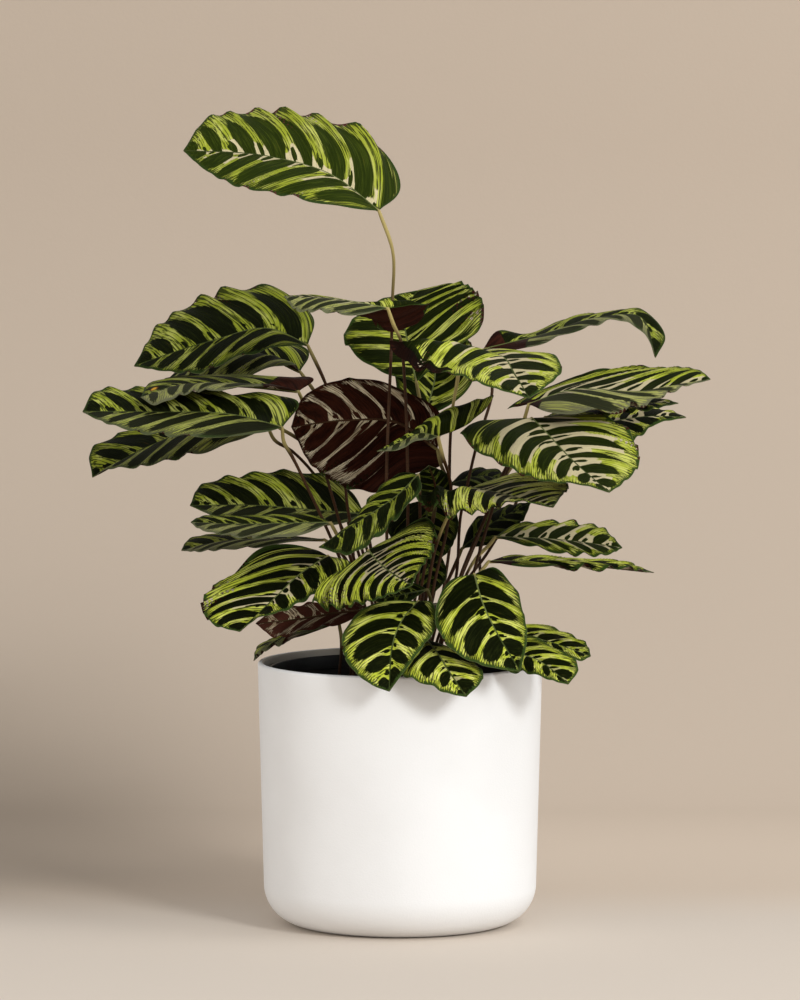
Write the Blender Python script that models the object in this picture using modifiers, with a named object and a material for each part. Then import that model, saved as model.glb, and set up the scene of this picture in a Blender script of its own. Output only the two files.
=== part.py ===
"""Potted calathea: a white cachepot, its black nursery pot, the soil and one solid for each leaf.

Metres, +Z up, origin at the centre of the cachepot's base, the photo's camera on the -Y side.
Each leaf is a waved blade and its own petiole, which stands in a plain hole in the soil.
A leaf's places are read from the photo by eye, and placed() puts them where the camera saw them.
"""

import math
from collections import namedtuple

import bmesh
import bpy
import numpy as np

MM = 0.001

# Cachepot
POT_HEIGHT = 0.176
POT_RIM_RADIUS = 0.095
POT_FOOT_RADIUS = 0.0912
POT_WALL = 0.0038
POT_CORNER = 0.027
POT_STEPS = 40

# Nursery pot, which stands on the cachepot's floor
NURSERY_HEIGHT = 0.168
NURSERY_RIM_RADIUS = 0.0875
NURSERY_TOP_RADIUS = 0.0845
NURSERY_FOOT_RADIUS = 0.0600
NURSERY_WALL = 0.0014
NURSERY_RIM_DROP = 0.010
NURSERY_STEPS = 32

# Soil
SOIL_EDGE = 0.146
SOIL_CROWN = 0.153
SOIL_STEPS = 28

# Leaves
BLADE_THICKNESS = 0.0008
BLADE_COLUMNS = 4
BLADE_END = 0.0010
BLADE_BULGE = 0.07
WAVE_HEIGHT = 0.09
PETIOLE_RADIUS = 0.0014
PULVINUS_RADIUS = 0.0018
ROOT_DEPTH = 0.022
ROOT_CLEAR = 0.004

# Clear space between pieces that touch
GAP = 0.0003

SKY = np.array([0.0, -0.3, 1.0])

# The photo's camera: level across, aimed at the pot's axis, at 1500 pixels to a metre there
PHOTO_CENTRE = (400, 500)
PHOTO_FOCAL = 6005.4
CAMERA_BACK = 3.990
CAMERA_HEIGHT = 0.613
AIM_HEIGHT = 0.284

# Each leaf's midrib from base to tip, the margin on each side of it and the petiole from the blade
# down, as (pixels across, pixels down, depth behind the pot's axis in millimetres). The foot is where
# the petiole enters the soil, in millimetres, and waves holds the number and phase of the waves.
Leaf = namedtuple("Leaf", "name rib far near stem foot waves")

LEAVES = [
    Leaf(
        "leaf_top",
        rib=[(379, 211, -8), (330, 174, -12), (268, 157, -16), (183, 151, -22)],
        far=[(400, 188, 20), (384, 146, 34), (335, 120, 38), (250, 111, 30), (205, 119, 2)],
        near=[(354, 209, -34), (290, 196, -58), (228, 182, -52), (201, 166, -36)],
        stem=[
            (392, 250, -6), (392, 300, 2), (391, 356, 2),
            (390, 392, -14), (386, 480, -22), (388, 600, -14),
        ],
        foot=(-8, -12),
        waves=(7, 0.2),
    ),
    Leaf(
        "leaf_left_high",
        rib=[(307, 345, 40), (270, 329, 38), (210, 341, 32), (134, 366, 22)],
        far=[(314, 318, 60), (272, 287, 78), (215, 294, 76), (163, 321, 58)],
        near=[(282, 348, 12), (240, 356, 0), (196, 372, 0), (160, 371, 8)],
        stem=[
            (327, 388, 44), (340, 440, 48), (345, 480, 46),
            (346, 498, 38), (351, 525, 22), (372, 600, 16),
        ],
        foot=(-16, 10),
        waves=(6, 1.1),
    ),
    Leaf(
        "leaf_left_high_back",
        rib=[(300, 372, 92), (255, 352, 92), (215, 356, 90), (168, 380, 84)],
        far=[(308, 352, 118), (262, 338, 130), (205, 348, 120)],
        near=[(290, 366, 66), (240, 378, 60), (195, 381, 66)],
        stem=[(315, 392, 82), (345, 480, 78), (354, 520, 74), (375, 600, 42)],
        foot=(-10, 28),
        waves=(3, 2.0),
    ),
    Leaf(
        "leaf_left_flat",
        rib=[(298, 392, 24), (240, 386, 4), (180, 385, -10), (141, 398, -38)],
        far=[(314, 380, 36), (262, 376, 38), (200, 377, 34), (152, 382, 6)],
        near=[(280, 386, 2), (230, 390, -32), (185, 393, -46), (154, 404, -50)],
        stem=[
            (303, 402, 34), (317, 440, 54), (328, 480, 46), (335, 505, 36),
            (341, 525, 25), (354, 570, 16), (365, 610, 8),
        ],
        foot=(-20, 0),
        waves=(4, 0.6),
    ),
    Leaf(
        "leaf_left_long",
        rib=[(282, 428, -22), (240, 416, -28), (150, 412, -36), (83, 412, -46)],
        far=[(299, 404, -8), (230, 392, -2), (135, 388, -6), (94, 391, -26)],
        near=[(262, 433, -44), (203, 437, -66), (140, 433, -68), (100, 420, -58)],
        stem=[(284, 442, -18), (292, 456, -16), (309, 489, -10), (334, 545, -2), (366, 630, -6)],
        foot=(-26, -12),
        waves=(6, 1.6),
    ),
    Leaf(
        "leaf_left_behind",
        rib=[(268, 428, 50), (210, 426, 48), (150, 446, 44), (92, 477, 38)],
        far=[(262, 412, 80), (200, 405, 84), (130, 431, 74), (91, 451, 56)],
        near=[(240, 441, 26), (185, 457, 14), (140, 467, 16), (105, 470, 26)],
        stem=[(275, 440, 60), (292, 452, 74), (315, 475, 84), (338, 520, 80), (355, 565, 58)],
        foot=(-28, 18),
        waves=(5, 0.2),
    ),
    Leaf(
        "leaf_maroon_back",
        rib=[(438, 449, 12), (397, 422, 12), (345, 421, 18), (291, 427, 26)],
        far=[(442, 418, 4), (405, 390, 0), (350, 378, 6), (301, 400, 16)],
        near=[(444, 462, 20), (415, 474, 30), (370, 492, 38), (313, 468, 36)],
        stem=[(441, 463, 10), (448, 482, 12), (446, 520, 22), (438, 570, 20), (426, 620, 12)],
        foot=(9, 3),
        waves=(5, 0.8),
    ),
    Leaf(
        "leaf_tent_high",
        rib=[(388, 308, -42), (340, 300, -50), (284, 296, -62)],
        far=[(428, 305, -22), (396, 333, -3), (366, 317, -5), (320, 299, -28)],
        near=[(351, 315, -70), (322, 312, -82), (298, 311, -80)],
        stem=[
            (393, 321, -38), (401, 344, -16), (404, 380, -18),
            (408, 468, -18), (408, 540, -14), (404, 600, -10),
        ],
        foot=(0, -10),
        waves=(4, 1.9),
    ),
    Leaf(
        "leaf_round_back",
        rib=[(416, 382, 30), (407, 342, 50), (405, 314, 66), (417, 291, 80)],
        far=[(380, 371, 34), (343, 338, 46), (360, 313, 60), (394, 296, 74)],
        near=[(452, 352, 38), (478, 331, 50), (483, 302, 62), (463, 283, 74), (438, 286, 80)],
        stem=[(420, 398, 34), (426, 450, 42), (424, 500, 36), (408, 610, 20)],
        foot=(-3, 14),
        waves=(5, 0.4),
    ),
    Leaf(
        "leaf_hidden_back",
        rib=[(425, 416, 86), (435, 370, 96), (425, 328, 104), (432, 300, 108)],
        far=[(400, 395, 88), (395, 360, 96), (408, 320, 104)],
        near=[(446, 408, 88), (469, 387, 94), (478, 362, 100), (462, 330, 106)],
        stem=[(430, 440, 78), (436, 520, 52), (422, 620, 32)],
        foot=(6, 28),
        waves=(3, 1.2),
    ),
    Leaf(
        "leaf_bright_tent",
        rib=[(458, 355, 4), (500, 355, -28), (516, 377, -66), (529, 399, -94)],
        far=[(425, 350, -14), (390, 345, -43), (412, 368, -56), (450, 374, -74), (492, 387, -93)],
        near=[(486, 350, 10), (525, 352, -12), (556, 357, -42), (562, 371, -62), (546, 386, -84)],
        stem=[(459, 370, 4), (453, 410, 4), (450, 480, 4), (451, 530, 10), (444, 590, 6)],
        foot=(16, -2),
        waves=(6, 0.2),
    ),
    Leaf(
        "leaf_curled",
        rib=[(438, 436, -50), (420, 433, -62), (400, 442, -75), (377, 451, -88)],
        far=[(468, 424, -32), (494, 396, -15), (455, 410, -30), (420, 429, -58)],
        near=[(430, 440, -66), (415, 441, -78), (400, 449, -84)],
        stem=[(443, 456, -44), (449, 474, -30), (451, 492, -20), (446, 530, -14), (434, 583, -12)],
        foot=(14, -14),
        waves=(3, 0.5),
    ),
    Leaf(
        "leaf_right_big",
        rib=[(532, 418, 10), (548, 434, -18), (572, 460, -60), (609, 493, -100)],
        far=[(488, 420, 0), (460, 432, -22), (488, 457, -55), (540, 480, -85), (590, 486, -100)],
        near=[(569, 418, 18), (618, 422, -5), (640, 460, -45), (623, 482, -80)],
        stem=[(524, 436, 16), (505, 470, 10), (492, 512, 6), (474, 573, 0)],
        foot=(30, 0),
        waves=(6, 1.0),
    ),
    Leaf(
        "leaf_right_high",
        rib=[(528, 404, 15), (570, 391, 20), (640, 391, 22), (711, 380, 24)],
        far=[(508, 408, 30), (552, 388, 50), (603, 370, 60), (660, 367, 58), (700, 370, 38)],
        near=[(545, 411, -5), (588, 412, -24), (643, 405, -22), (677, 390, -2)],
        stem=[(524, 420, 18), (508, 470, 18), (488, 512, 14), (462, 573, 8)],
        foot=(24, 6),
        waves=(6, 0.3),
    ),
    Leaf(
        "leaf_ribbon",
        rib=[(484, 349, 44), (540, 336, 50), (600, 318, 54), (640, 318, 54), (656, 358, 48)],
        far=[
            (495, 332, 52), (530, 334, 66), (570, 318, 78),
            (610, 313, 76), (640, 309, 66), (666, 337, 56),
        ],
        near=[(505, 352, 34), (550, 341, 26), (590, 327, 30), (625, 322, 42), (648, 339, 44)],
        stem=[
            (492, 390, 40), (485, 420, 34), (477, 443, 30),
            (467, 485, 20), (461, 513, 20), (456, 573, 16),
        ],
        foot=(18, 10),
        waves=(4, 0.9),
    ),
    Leaf(
        "leaf_right_back",
        rib=[(560, 432, 60), (610, 422, 76), (650, 416, 84), (686, 418, 90)],
        far=[(590, 416, 95), (635, 405, 108), (668, 410, 104)],
        near=[(590, 442, 50), (630, 442, 60), (655, 425, 76)],
        stem=[(552, 445, 66), (530, 470, 92), (512, 510, 100), (490, 550, 86), (455, 600, 48)],
        foot=(22, 28),
        waves=(3, 1.7),
    ),
    Leaf(
        "leaf_right_flat",
        rib=[(545, 417, 50), (600, 410, 52), (650, 404, 54), (678, 403, 54)],
        far=[(560, 411, 64), (610, 404, 72), (655, 398, 68)],
        near=[(560, 419, 38), (605, 415, 32), (650, 409, 38)],
        stem=[(535, 430, 44), (508, 466, 28), (496, 490, 24), (480, 530, 20), (456, 590, 18)],
        foot=(24, 16),
        waves=(4, 0.5),
    ),
    Leaf(
        "leaf_tent_low",
        rib=[(470, 488, -8), (500, 494, -32), (530, 501, -60), (554, 508, -85)],
        far=[(440, 494, -34), (415, 496, -52), (442, 512, -73), (478, 513, -86), (520, 501, -92)],
        near=[(495, 481, 6), (523, 474, -2), (552, 477, -20), (568, 486, -50), (562, 496, -72)],
        stem=[(458, 500, -22), (450, 512, -28), (436, 545, -26), (428, 583, -22)],
        foot=(10, -20),
        waves=(5, 0.6),
    ),
    Leaf(
        "leaf_mid_back",
        rib=[(450, 484, 44), (480, 476, 50), (520, 484, 54)],
        far=[(470, 469, 62), (500, 472, 66)],
        near=[(470, 490, 34), (500, 492, 36)],
        stem=[(448, 500, 44), (440, 560, 34)],
        foot=(12, 20),
        waves=(3, 0.1),
    ),
    Leaf(
        "leaf_dark_mid",
        rib=[(462, 548, 62), (495, 522, 72), (531, 502, 78)],
        far=[(470, 524, 78), (502, 506, 90)],
        near=[(492, 543, 58), (522, 522, 66)],
        stem=[(456, 562, 56), (440, 600, 44)],
        foot=(14, 34),
        waves=(3, 1.3),
    ),
    Leaf(
        "leaf_right_low",
        rib=[(495, 537, 36), (554, 540, 40), (622, 548, 44)],
        far=[(514, 525, 56), (565, 522, 70), (602, 528, 62)],
        near=[(513, 541, 26), (568, 555, 18), (608, 555, 28)],
        stem=[(490, 543, 34), (478, 557, 32), (455, 610, 26)],
        foot=(36, 18),
        waves=(4, 0.8),
    ),
    Leaf(
        "leaf_right_edge",
        rib=[(488, 562, -12), (540, 562, -14), (600, 566, -16), (654, 573, -18)],
        far=[(512, 556, 6), (568, 562, 16), (620, 563, 12)],
        near=[(522, 566, -34), (569, 568, -50), (628, 568, -42)],
        stem=[(480, 574, -12), (458, 620, -12)],
        foot=(36, -8),
        waves=(4, 1.5),
    ),
    Leaf(
        "leaf_front_right",
        rib=[(474, 574, -50), (481, 598, -66), (494, 627, -86), (520, 671, -108)],
        far=[(493, 567, -42), (512, 584, -52), (524, 612, -68), (527, 638, -86), (523, 660, -104)],
        near=[(455, 578, -55), (438, 600, -72), (437, 628, -90), (455, 653, -105), (492, 668, -112)],
        stem=[(468, 600, -40), (450, 650, -32)],
        foot=(24, -24),
        waves=(5, 0.2),
    ),
    Leaf(
        "leaf_front_left",
        rib=[(418, 602, -50), (402, 622, -72), (393, 646, -95), (389, 691, -118)],
        far=[(392, 600, -54), (357, 614, -68), (342, 642, -88), (349, 665, -106), (372, 685, -116)],
        near=[(431, 602, -62), (436, 624, -80), (420, 650, -100), (399, 679, -116)],
        stem=[(420, 620, -42), (418, 660, -32)],
        foot=(4, -30),
        waves=(5, 1.0),
    ),
    Leaf(
        "leaf_front_small",
        rib=[(426, 640, -62), (436, 653, -84), (450, 674, -108), (466, 697, -122)],
        far=[(412, 655, -84), (403, 675, -108), (426, 684, -118), (450, 694, -122)],
        near=[(455, 648, -80), (479, 665, -98), (483, 679, -112)],
        stem=[(424, 655, -50), (424, 680, -38)],
        foot=(14, -32),
        waves=(3, 0.4),
    ),
    Leaf(
        "leaf_front_rim",
        rib=[(505, 650, -55), (540, 662, -78), (569, 685, -94)],
        far=[(500, 669, -78), (530, 674, -92), (556, 682, -97)],
        near=[(526, 638, -50), (560, 650, -62), (578, 668, -80)],
        stem=[(490, 648, -44), (470, 665, -34)],
        foot=(36, -22),
        waves=(3, 1.6),
    ),
    Leaf(
        "leaf_right_rim",
        rib=[(500, 632, -22), (545, 641, -32), (590, 656, -45)],
        far=[(526, 623, -5), (562, 631, -12), (587, 645, -28)],
        near=[(525, 648, -38), (560, 656, -48), (580, 660, -52)],
        stem=[(490, 636, -18), (470, 652, -14)],
        foot=(44, -10),
        waves=(3, 0.7),
    ),
    Leaf(
        "leaf_centre",
        rib=[(369, 551, -30), (381, 564, -52), (394, 575, -74), (412, 585, -96)],
        far=[(345, 568, -44), (311, 602, -70), (330, 608, -84), (360, 603, -94), (390, 595, -100)],
        near=[(394, 535, -30), (430, 520, -45), (433, 550, -72), (416, 577, -92)],
        stem=[(372, 570, -22), (384, 640, -18)],
        foot=(-12, -24),
        waves=(6, 0.2),
    ),
    Leaf(
        "leaf_s_curve",
        rib=[(418, 475, -40), (398, 495, -55), (370, 515, -70), (345, 530, -84), (319, 548, -97)],
        far=[(402, 472, -30), (378, 490, -42), (356, 517, -62), (335, 536, -82)],
        near=[(421, 488, -56), (404, 509, -74), (382, 533, -92), (350, 555, -102)],
        stem=[(420, 500, -26), (420, 560, -16), (412, 620, -16)],
        foot=(2, -20),
        waves=(5, 1.4),
    ),
    Leaf(
        "leaf_cupped",
        rib=[(436, 500, -4), (434, 484, -14), (428, 465, -24)],
        far=[(419, 495, -16), (414, 480, -22)],
        near=[(453, 490, -6), (446, 473, -16)],
        stem=[(434, 510, -10), (428, 545, -10), (420, 600, -6)],
        foot=(6, -6),
        waves=(3, 0.9),
    ),
    Leaf(
        "leaf_dark_centre",
        rib=[(425, 500, 6), (428, 530, 2), (432, 566, -8)],
        far=[(400, 508, 8), (386, 525, 4), (402, 550, -2)],
        near=[(452, 504, 2), (459, 524, 0), (450, 550, -4)],
        stem=[(430, 510, 16), (432, 560, 24), (420, 610, 16)],
        foot=(5, 9),
        waves=(3, 1.1),
    ),
    Leaf(
        "leaf_under_dark",
        rib=[(425, 548, 10), (428, 570, 6), (431, 596, -2)],
        far=[(410, 560, 6), (413, 582, -2)],
        near=[(440, 556, 8), (446, 578, 2)],
        stem=[(424, 562, 18), (418, 630, 6)],
        foot=(-4, 6),
        waves=(3, 0.3),
    ),
    Leaf(
        "leaf_under_centre",
        rib=[(427, 590, -30), (400, 595, -38), (374, 601, -44)],
        far=[(412, 583, -26), (388, 588, -30)],
        near=[(405, 604, -42), (388, 606, -46)],
        stem=[(430, 598, -26), (424, 640, -24)],
        foot=(12, -26),
        waves=(3, 0.7),
    ),
    Leaf(
        "leaf_left_low",
        rib=[(328, 556, -16), (299, 576, -36), (275, 597, -54), (240, 632, -80)],
        far=[(313, 548, -4), (268, 549, -2), (224, 579, -16), (201, 607, -43), (216, 625, -68)],
        near=[(352, 563, -24), (325, 587, -44), (290, 608, -66), (252, 622, -84)],
        stem=[(337, 568, -12), (350, 605, -10), (356, 630, -10)],
        foot=(-32, -12),
        waves=(6, 0.9),
    ),
    Leaf(
        "leaf_left_mid",
        rib=[(365, 514, 52), (317, 510, 46), (258, 506, 38), (190, 505, 26)],
        far=[(352, 490, 66), (300, 471, 70), (250, 475, 66), (202, 485, 52)],
        near=[(340, 524, 36), (290, 524, 26), (225, 520, 14)],
        stem=[(368, 530, 46), (380, 610, 28)],
        foot=(-8, 18),
        waves=(5, 0.1),
    ),
    Leaf(
        "leaf_left_glance",
        rib=[(330, 522, -25), (285, 524, -32), (235, 525, -38), (190, 523, -46)],
        far=[(312, 515, -14), (258, 515, -18), (198, 518, -34)],
        near=[(302, 534, -46), (250, 538, -60), (198, 528, -56)],
        stem=[(340, 540, -18), (350, 558, -6), (356, 590, 3), (353, 620, 7)],
        foot=(-33, 6),
        waves=(4, 1.2),
    ),
    Leaf(
        "leaf_left_edge",
        rib=[(325, 540, 50), (280, 539, 52), (230, 541, 54), (181, 550, 56)],
        far=[(300, 537, 66), (250, 536, 82), (188, 539, 72)],
        near=[(300, 541, 36), (250, 547, 24), (192, 552, 38)],
        stem=[(340, 552, 42), (362, 620, 28)],
        foot=(-20, 26),
        waves=(4, 0.6),
    ),
    Leaf(
        "leaf_maroon_low",
        rib=[(372, 609, -20), (340, 612, -30), (300, 619, -44), (256, 623, -56)],
        far=[(345, 601, -40), (300, 605, -52), (266, 615, -60)],
        near=[(345, 622, -16), (310, 629, -24), (276, 638, -38)],
        stem=[(376, 622, -18), (374, 650, -24)],
        foot=(-22, -28),
        waves=(3, 0.4),
    ),
    Leaf(
        "leaf_rim_left",
        rib=[(338, 621, 0), (305, 633, 4), (270, 645, 8), (253, 661, 10)],
        far=[(320, 627, 18), (290, 637, 30), (259, 647, 26)],
        near=[(320, 629, -14), (290, 640, -22), (264, 652, -14)],
        stem=[(341, 640, -2), (340, 666, -4)],
        foot=(-42, -2),
        waves=(3, 1.0),
    ),
    Leaf(
        "leaf_rear_high",
        rib=[(412, 352, 116), (402, 338, 160), (396, 335, 205)],
        far=[(380, 350, 128), (355, 342, 165), (372, 338, 192)],
        near=[(440, 345, 130), (452, 334, 168), (425, 332, 194)],
        stem=[(420, 400, 96), (424, 500, 66), (424, 600, 44)],
        foot=(0, 38),
        waves=(3, 0.7),
    ),
    Leaf(
        "leaf_rear_centre",
        rib=[(398, 455, 74), (388, 440, 125), (378, 446, 178)],
        far=[(362, 455, 88), (338, 448, 132), (352, 450, 165)],
        near=[(430, 448, 88), (438, 436, 132), (408, 440, 166)],
        stem=[(400, 480, 70), (404, 560, 52)],
        foot=(-2, 44),
        waves=(3, 1.5),
    ),
    Leaf(
        "leaf_rear_right",
        rib=[(515, 462, 98), (545, 448, 138), (572, 452, 178)],
        far=[(505, 450, 120), (512, 440, 156), (545, 444, 178)],
        near=[(545, 466, 98), (586, 456, 124), (595, 455, 150)],
        stem=[(505, 476, 104), (484, 530, 104), (478, 600, 58)],
        foot=(36, 40),
        waves=(3, 0.4),
    ),
    Leaf(
        "leaf_rear_left",
        rib=[(275, 425, 96), (238, 408, 140), (205, 412, 186)],
        far=[(282, 412, 122), (258, 402, 162), (222, 408, 186)],
        near=[(240, 430, 96), (200, 420, 128), (188, 416, 162)],
        stem=[(300, 440, 94), (345, 500, 90), (376, 590, 54)],
        foot=(-12, 38),
        waves=(3, 1.1),
    ),
    Leaf(
        "leaf_rear_low",
        rib=[(430, 622, 52), (424, 606, 100), (418, 612, 150)],
        far=[(402, 620, 62), (382, 612, 105), (396, 612, 138)],
        near=[(458, 616, 64), (470, 608, 108), (444, 610, 140)],
        stem=[(430, 640, 48), (430, 665, 46)],
        foot=(20, 52),
        waves=(3, 0.2),
    ),
    Leaf(
        "leaf_rear_low_left",
        rib=[(388, 588, 60), (370, 572, 100), (350, 574, 142)],
        far=[(362, 588, 62), (334, 580, 98), (334, 577, 128)],
        near=[(404, 578, 80), (398, 570, 116), (372, 572, 140)],
        stem=[(392, 600, 56), (395, 650, 52)],
        foot=(-6, 54),
        waves=(3, 1.3),
    ),
    Leaf(
        "leaf_rear_left_low",
        rib=[(345, 508, 96), (308, 496, 132), (272, 500, 172)],
        far=[(350, 500, 118), (330, 492, 150), (292, 496, 170)],
        near=[(316, 514, 98), (274, 506, 122), (258, 503, 152)],
        stem=[(350, 528, 90), (356, 585, 60), (364, 630, 52)],
        foot=(-25, 48),
        waves=(3, 0.5),
    ),
]


def material(name, colour, roughness):
    made = bpy.data.materials.new(name)
    made.use_nodes = True
    shader = made.node_tree.nodes["Principled BSDF"]
    shader.inputs["Base Color"].default_value = (*colour, 1.0)
    shader.inputs["Roughness"].default_value = roughness
    shader.inputs["Metallic"].default_value = 0.0
    return made


def add_piece(obj, name, colour, roughness, collection):
    """Names the object, gives it its material and moves it to the collection."""
    obj.name = name
    obj.data.name = name
    obj.data.materials.clear()
    obj.data.materials.append(material(name, colour, roughness))
    for home in list(obj.users_collection):
        home.objects.unlink(obj)
    collection.objects.link(obj)
    return obj


def apply_modifiers(obj):
    bpy.context.view_layer.objects.active = obj
    for modifier in list(obj.modifiers):
        bpy.ops.object.modifier_apply(modifier=modifier.name)


def smooth(obj, angle):
    """Shades the object smooth, apart from edges sharper than the angle."""
    obj.data.shade_smooth()
    obj.data.set_sharp_from_angle(angle=angle)


def arc(centre, radius, start, end, steps):
    """Points of an arc in the XZ plane, from start to end in degrees."""
    return [
        (
            centre[0] + radius * math.cos(math.radians(start + (end - start) * i / steps)),
            centre[1] + radius * math.sin(math.radians(start + (end - start) * i / steps)),
        )
        for i in range(steps + 1)
    ]


def turned(profile, steps):
    """An object turned about Z from a profile of (radius, height) points, its outer side going down."""
    mesh = bpy.data.meshes.new("profile")
    points = [(r, 0.0, z) for r, z in profile]
    mesh.from_pydata(points, [(i, i + 1) for i in range(len(points) - 1)], [])
    obj = bpy.data.objects.new("profile", mesh)
    bpy.context.scene.collection.objects.link(obj)
    screw = obj.modifiers.new("turn", "SCREW")
    screw.angle = math.tau
    screw.steps = steps
    screw.render_steps = steps
    screw.use_merge_vertices = True
    screw.merge_threshold = 0.00001
    apply_modifiers(obj)
    return obj


def cachepot():
    lip = POT_WALL / 2
    inner_corner = POT_CORNER - POT_WALL
    inner_foot = POT_FOOT_RADIUS - POT_WALL
    profile = [(0.0, POT_WALL)]
    profile += arc((inner_foot - inner_corner, POT_WALL + inner_corner), inner_corner, -90, 0, 4)
    profile += arc((POT_RIM_RADIUS - lip, POT_HEIGHT - lip), lip, 180, 0, 4)
    profile += arc((POT_FOOT_RADIUS - POT_CORNER, POT_CORNER), POT_CORNER, 0, -90, 5)
    profile += [(0.0, 0.0)]
    return turned(profile, POT_STEPS)


def nursery_pot():
    floor = POT_WALL + GAP
    top = floor + NURSERY_HEIGHT
    step = top - NURSERY_RIM_DROP
    inner_rim = NURSERY_RIM_RADIUS - NURSERY_WALL
    profile = [
        (0.0, floor + NURSERY_WALL),
        (NURSERY_FOOT_RADIUS - NURSERY_WALL, floor + NURSERY_WALL),
        (NURSERY_TOP_RADIUS - NURSERY_WALL, step + NURSERY_WALL),
        (inner_rim, step + 2 * NURSERY_WALL),
        (inner_rim, top),
        (NURSERY_RIM_RADIUS, top),
        (NURSERY_RIM_RADIUS, step),
        (NURSERY_TOP_RADIUS, step - NURSERY_WALL),
        (NURSERY_FOOT_RADIUS, floor),
        (0.0, floor),
    ]
    return turned(profile, NURSERY_STEPS)


def nursery_inside(height):
    """The nursery pot's inner radius at a height below its rim."""
    floor = POT_WALL + GAP
    low = floor + NURSERY_WALL
    high = floor + NURSERY_HEIGHT - NURSERY_RIM_DROP + NURSERY_WALL
    share = (height - low) / (high - low)
    narrow = NURSERY_FOOT_RADIUS - NURSERY_WALL
    wide = NURSERY_TOP_RADIUS - NURSERY_WALL
    return narrow + (wide - narrow) * share


def soil(feet):
    """A mound that fills the nursery pot, with a plain hole for each petiole."""
    low = POT_WALL + GAP + NURSERY_WALL + GAP
    profile = [
        (0.0, SOIL_CROWN),
        (0.030, SOIL_CROWN - 0.001),
        (0.060, SOIL_EDGE + 0.003),
        (nursery_inside(SOIL_EDGE) - 2 * GAP, SOIL_EDGE),
        (nursery_inside(low) - 2 * GAP, low),
        (0.0, low),
    ]
    plug = turned(profile, SOIL_STEPS)
    holes = bmesh.new()
    for x, y in feet:
        made = bmesh.ops.create_cone(
            holes,
            cap_ends=True,
            segments=5,
            radius1=PETIOLE_RADIUS + 3 * GAP,
            radius2=PETIOLE_RADIUS + 3 * GAP,
            depth=2 * ROOT_DEPTH,
        )
        bmesh.ops.translate(holes, verts=made["verts"], vec=(x, y, SOIL_CROWN))
    mesh = bpy.data.meshes.new("holes")
    holes.to_mesh(mesh)
    holes.free()
    cutter = bpy.data.objects.new("holes", mesh)
    bpy.context.scene.collection.objects.link(cutter)
    join(plug, cutter, "DIFFERENCE", "EXACT")
    return plug


def join(obj, other, operation, solver):
    """Applies one Boolean of the two objects and removes the second."""
    cut = obj.modifiers.new("boolean", "BOOLEAN")
    cut.operation = operation
    cut.solver = solver
    cut.object = other
    apply_modifiers(obj)
    bpy.data.objects.remove(other, do_unlink=True)


def placed(points):
    """Places in metres, to the nearest millimetre, of points read from the photo.

    Each lies on the camera's ray through its pixel, at its depth behind the pot's axis.
    """
    across, down, depth = np.array(points, float).T
    right = across - PHOTO_CENTRE[0]
    up = PHOTO_CENTRE[1] - down
    tilt = math.atan2(CAMERA_HEIGHT - AIM_HEIGHT, CAMERA_BACK)
    forward = PHOTO_FOCAL * math.cos(tilt) + up * math.sin(tilt)
    rise = up * math.cos(tilt) - PHOTO_FOCAL * math.sin(tilt)
    share = (depth * MM + CAMERA_BACK) / forward
    return np.round(np.stack([share * right, depth * MM, CAMERA_HEIGHT + share * rise], axis=1), 3)


def along(points, share):
    """Places at each share of the way along a smooth line through the points."""
    steps = np.linalg.norm(np.diff(points, axis=0), axis=1)
    knots = np.concatenate([[0.0], np.cumsum(steps)]) / steps.sum()
    slopes = np.gradient(points, knots, axis=0)
    i = np.clip(np.searchsorted(knots, share, "right") - 1, 0, len(points) - 2)
    span = (knots[i + 1] - knots[i])[:, None]
    t = (share - knots[i])[:, None] / span
    return (
        (2 * t**3 - 3 * t**2 + 1) * points[i]
        + (t**3 - 2 * t**2 + t) * span * slopes[i]
        + (3 * t**2 - 2 * t**3) * points[i + 1]
        + (t**3 - t**2) * span * slopes[i + 1]
    )


def unit(vectors):
    return vectors / np.linalg.norm(vectors, axis=1, keepdims=True)


def blade_places(leaf, u, v):
    """Places on the blade's middle surface, in metres.

    u goes from the base to the tip and v across, from -1 on the near margin to 1 on the far one.
    Between midrib and margin the surface is a straight line plus a bulge to the upper side,
    and a sine along the blade lifts and drops it more and more towards the margin.
    """
    rib = placed(leaf.rib)
    far = np.vstack([rib[:1], placed(leaf.far), rib[-1:]])
    near = np.vstack([rib[:1], placed(leaf.near), rib[-1:]])
    middle = along(rib, u)
    inward = np.clip(u, 0.04, 0.96)
    across = unit(along(far, inward) - along(near, inward))
    forward = unit(along(rib, np.clip(u + 0.02, 0, 1)) - along(rib, np.clip(u - 0.02, 0, 1)))
    upward = unit(np.cross(across, forward))
    if (upward @ SKY).mean() < 0:
        upward = -upward
    side = np.where(v[:, None] > 0, along(far, u) - middle, along(near, u) - middle)
    width = np.linalg.norm(side, axis=1)
    reach = np.abs(v)
    count, phase = leaf.waves
    turn = math.tau * count * u + phase + np.where(v > 0, 0.0, 2.0)
    wave = WAVE_HEIGHT * width * reach**1.6 * np.sin(turn) * np.sin(math.pi * u) ** 0.5
    bulge = BLADE_BULGE * width * 4 * reach * (1 - reach)
    end = BLADE_END * (1 - np.sin(math.pi * u)) * v
    return middle + side * reach[:, None] + across * end[:, None] + upward * (wave + bulge)[:, None]


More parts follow.
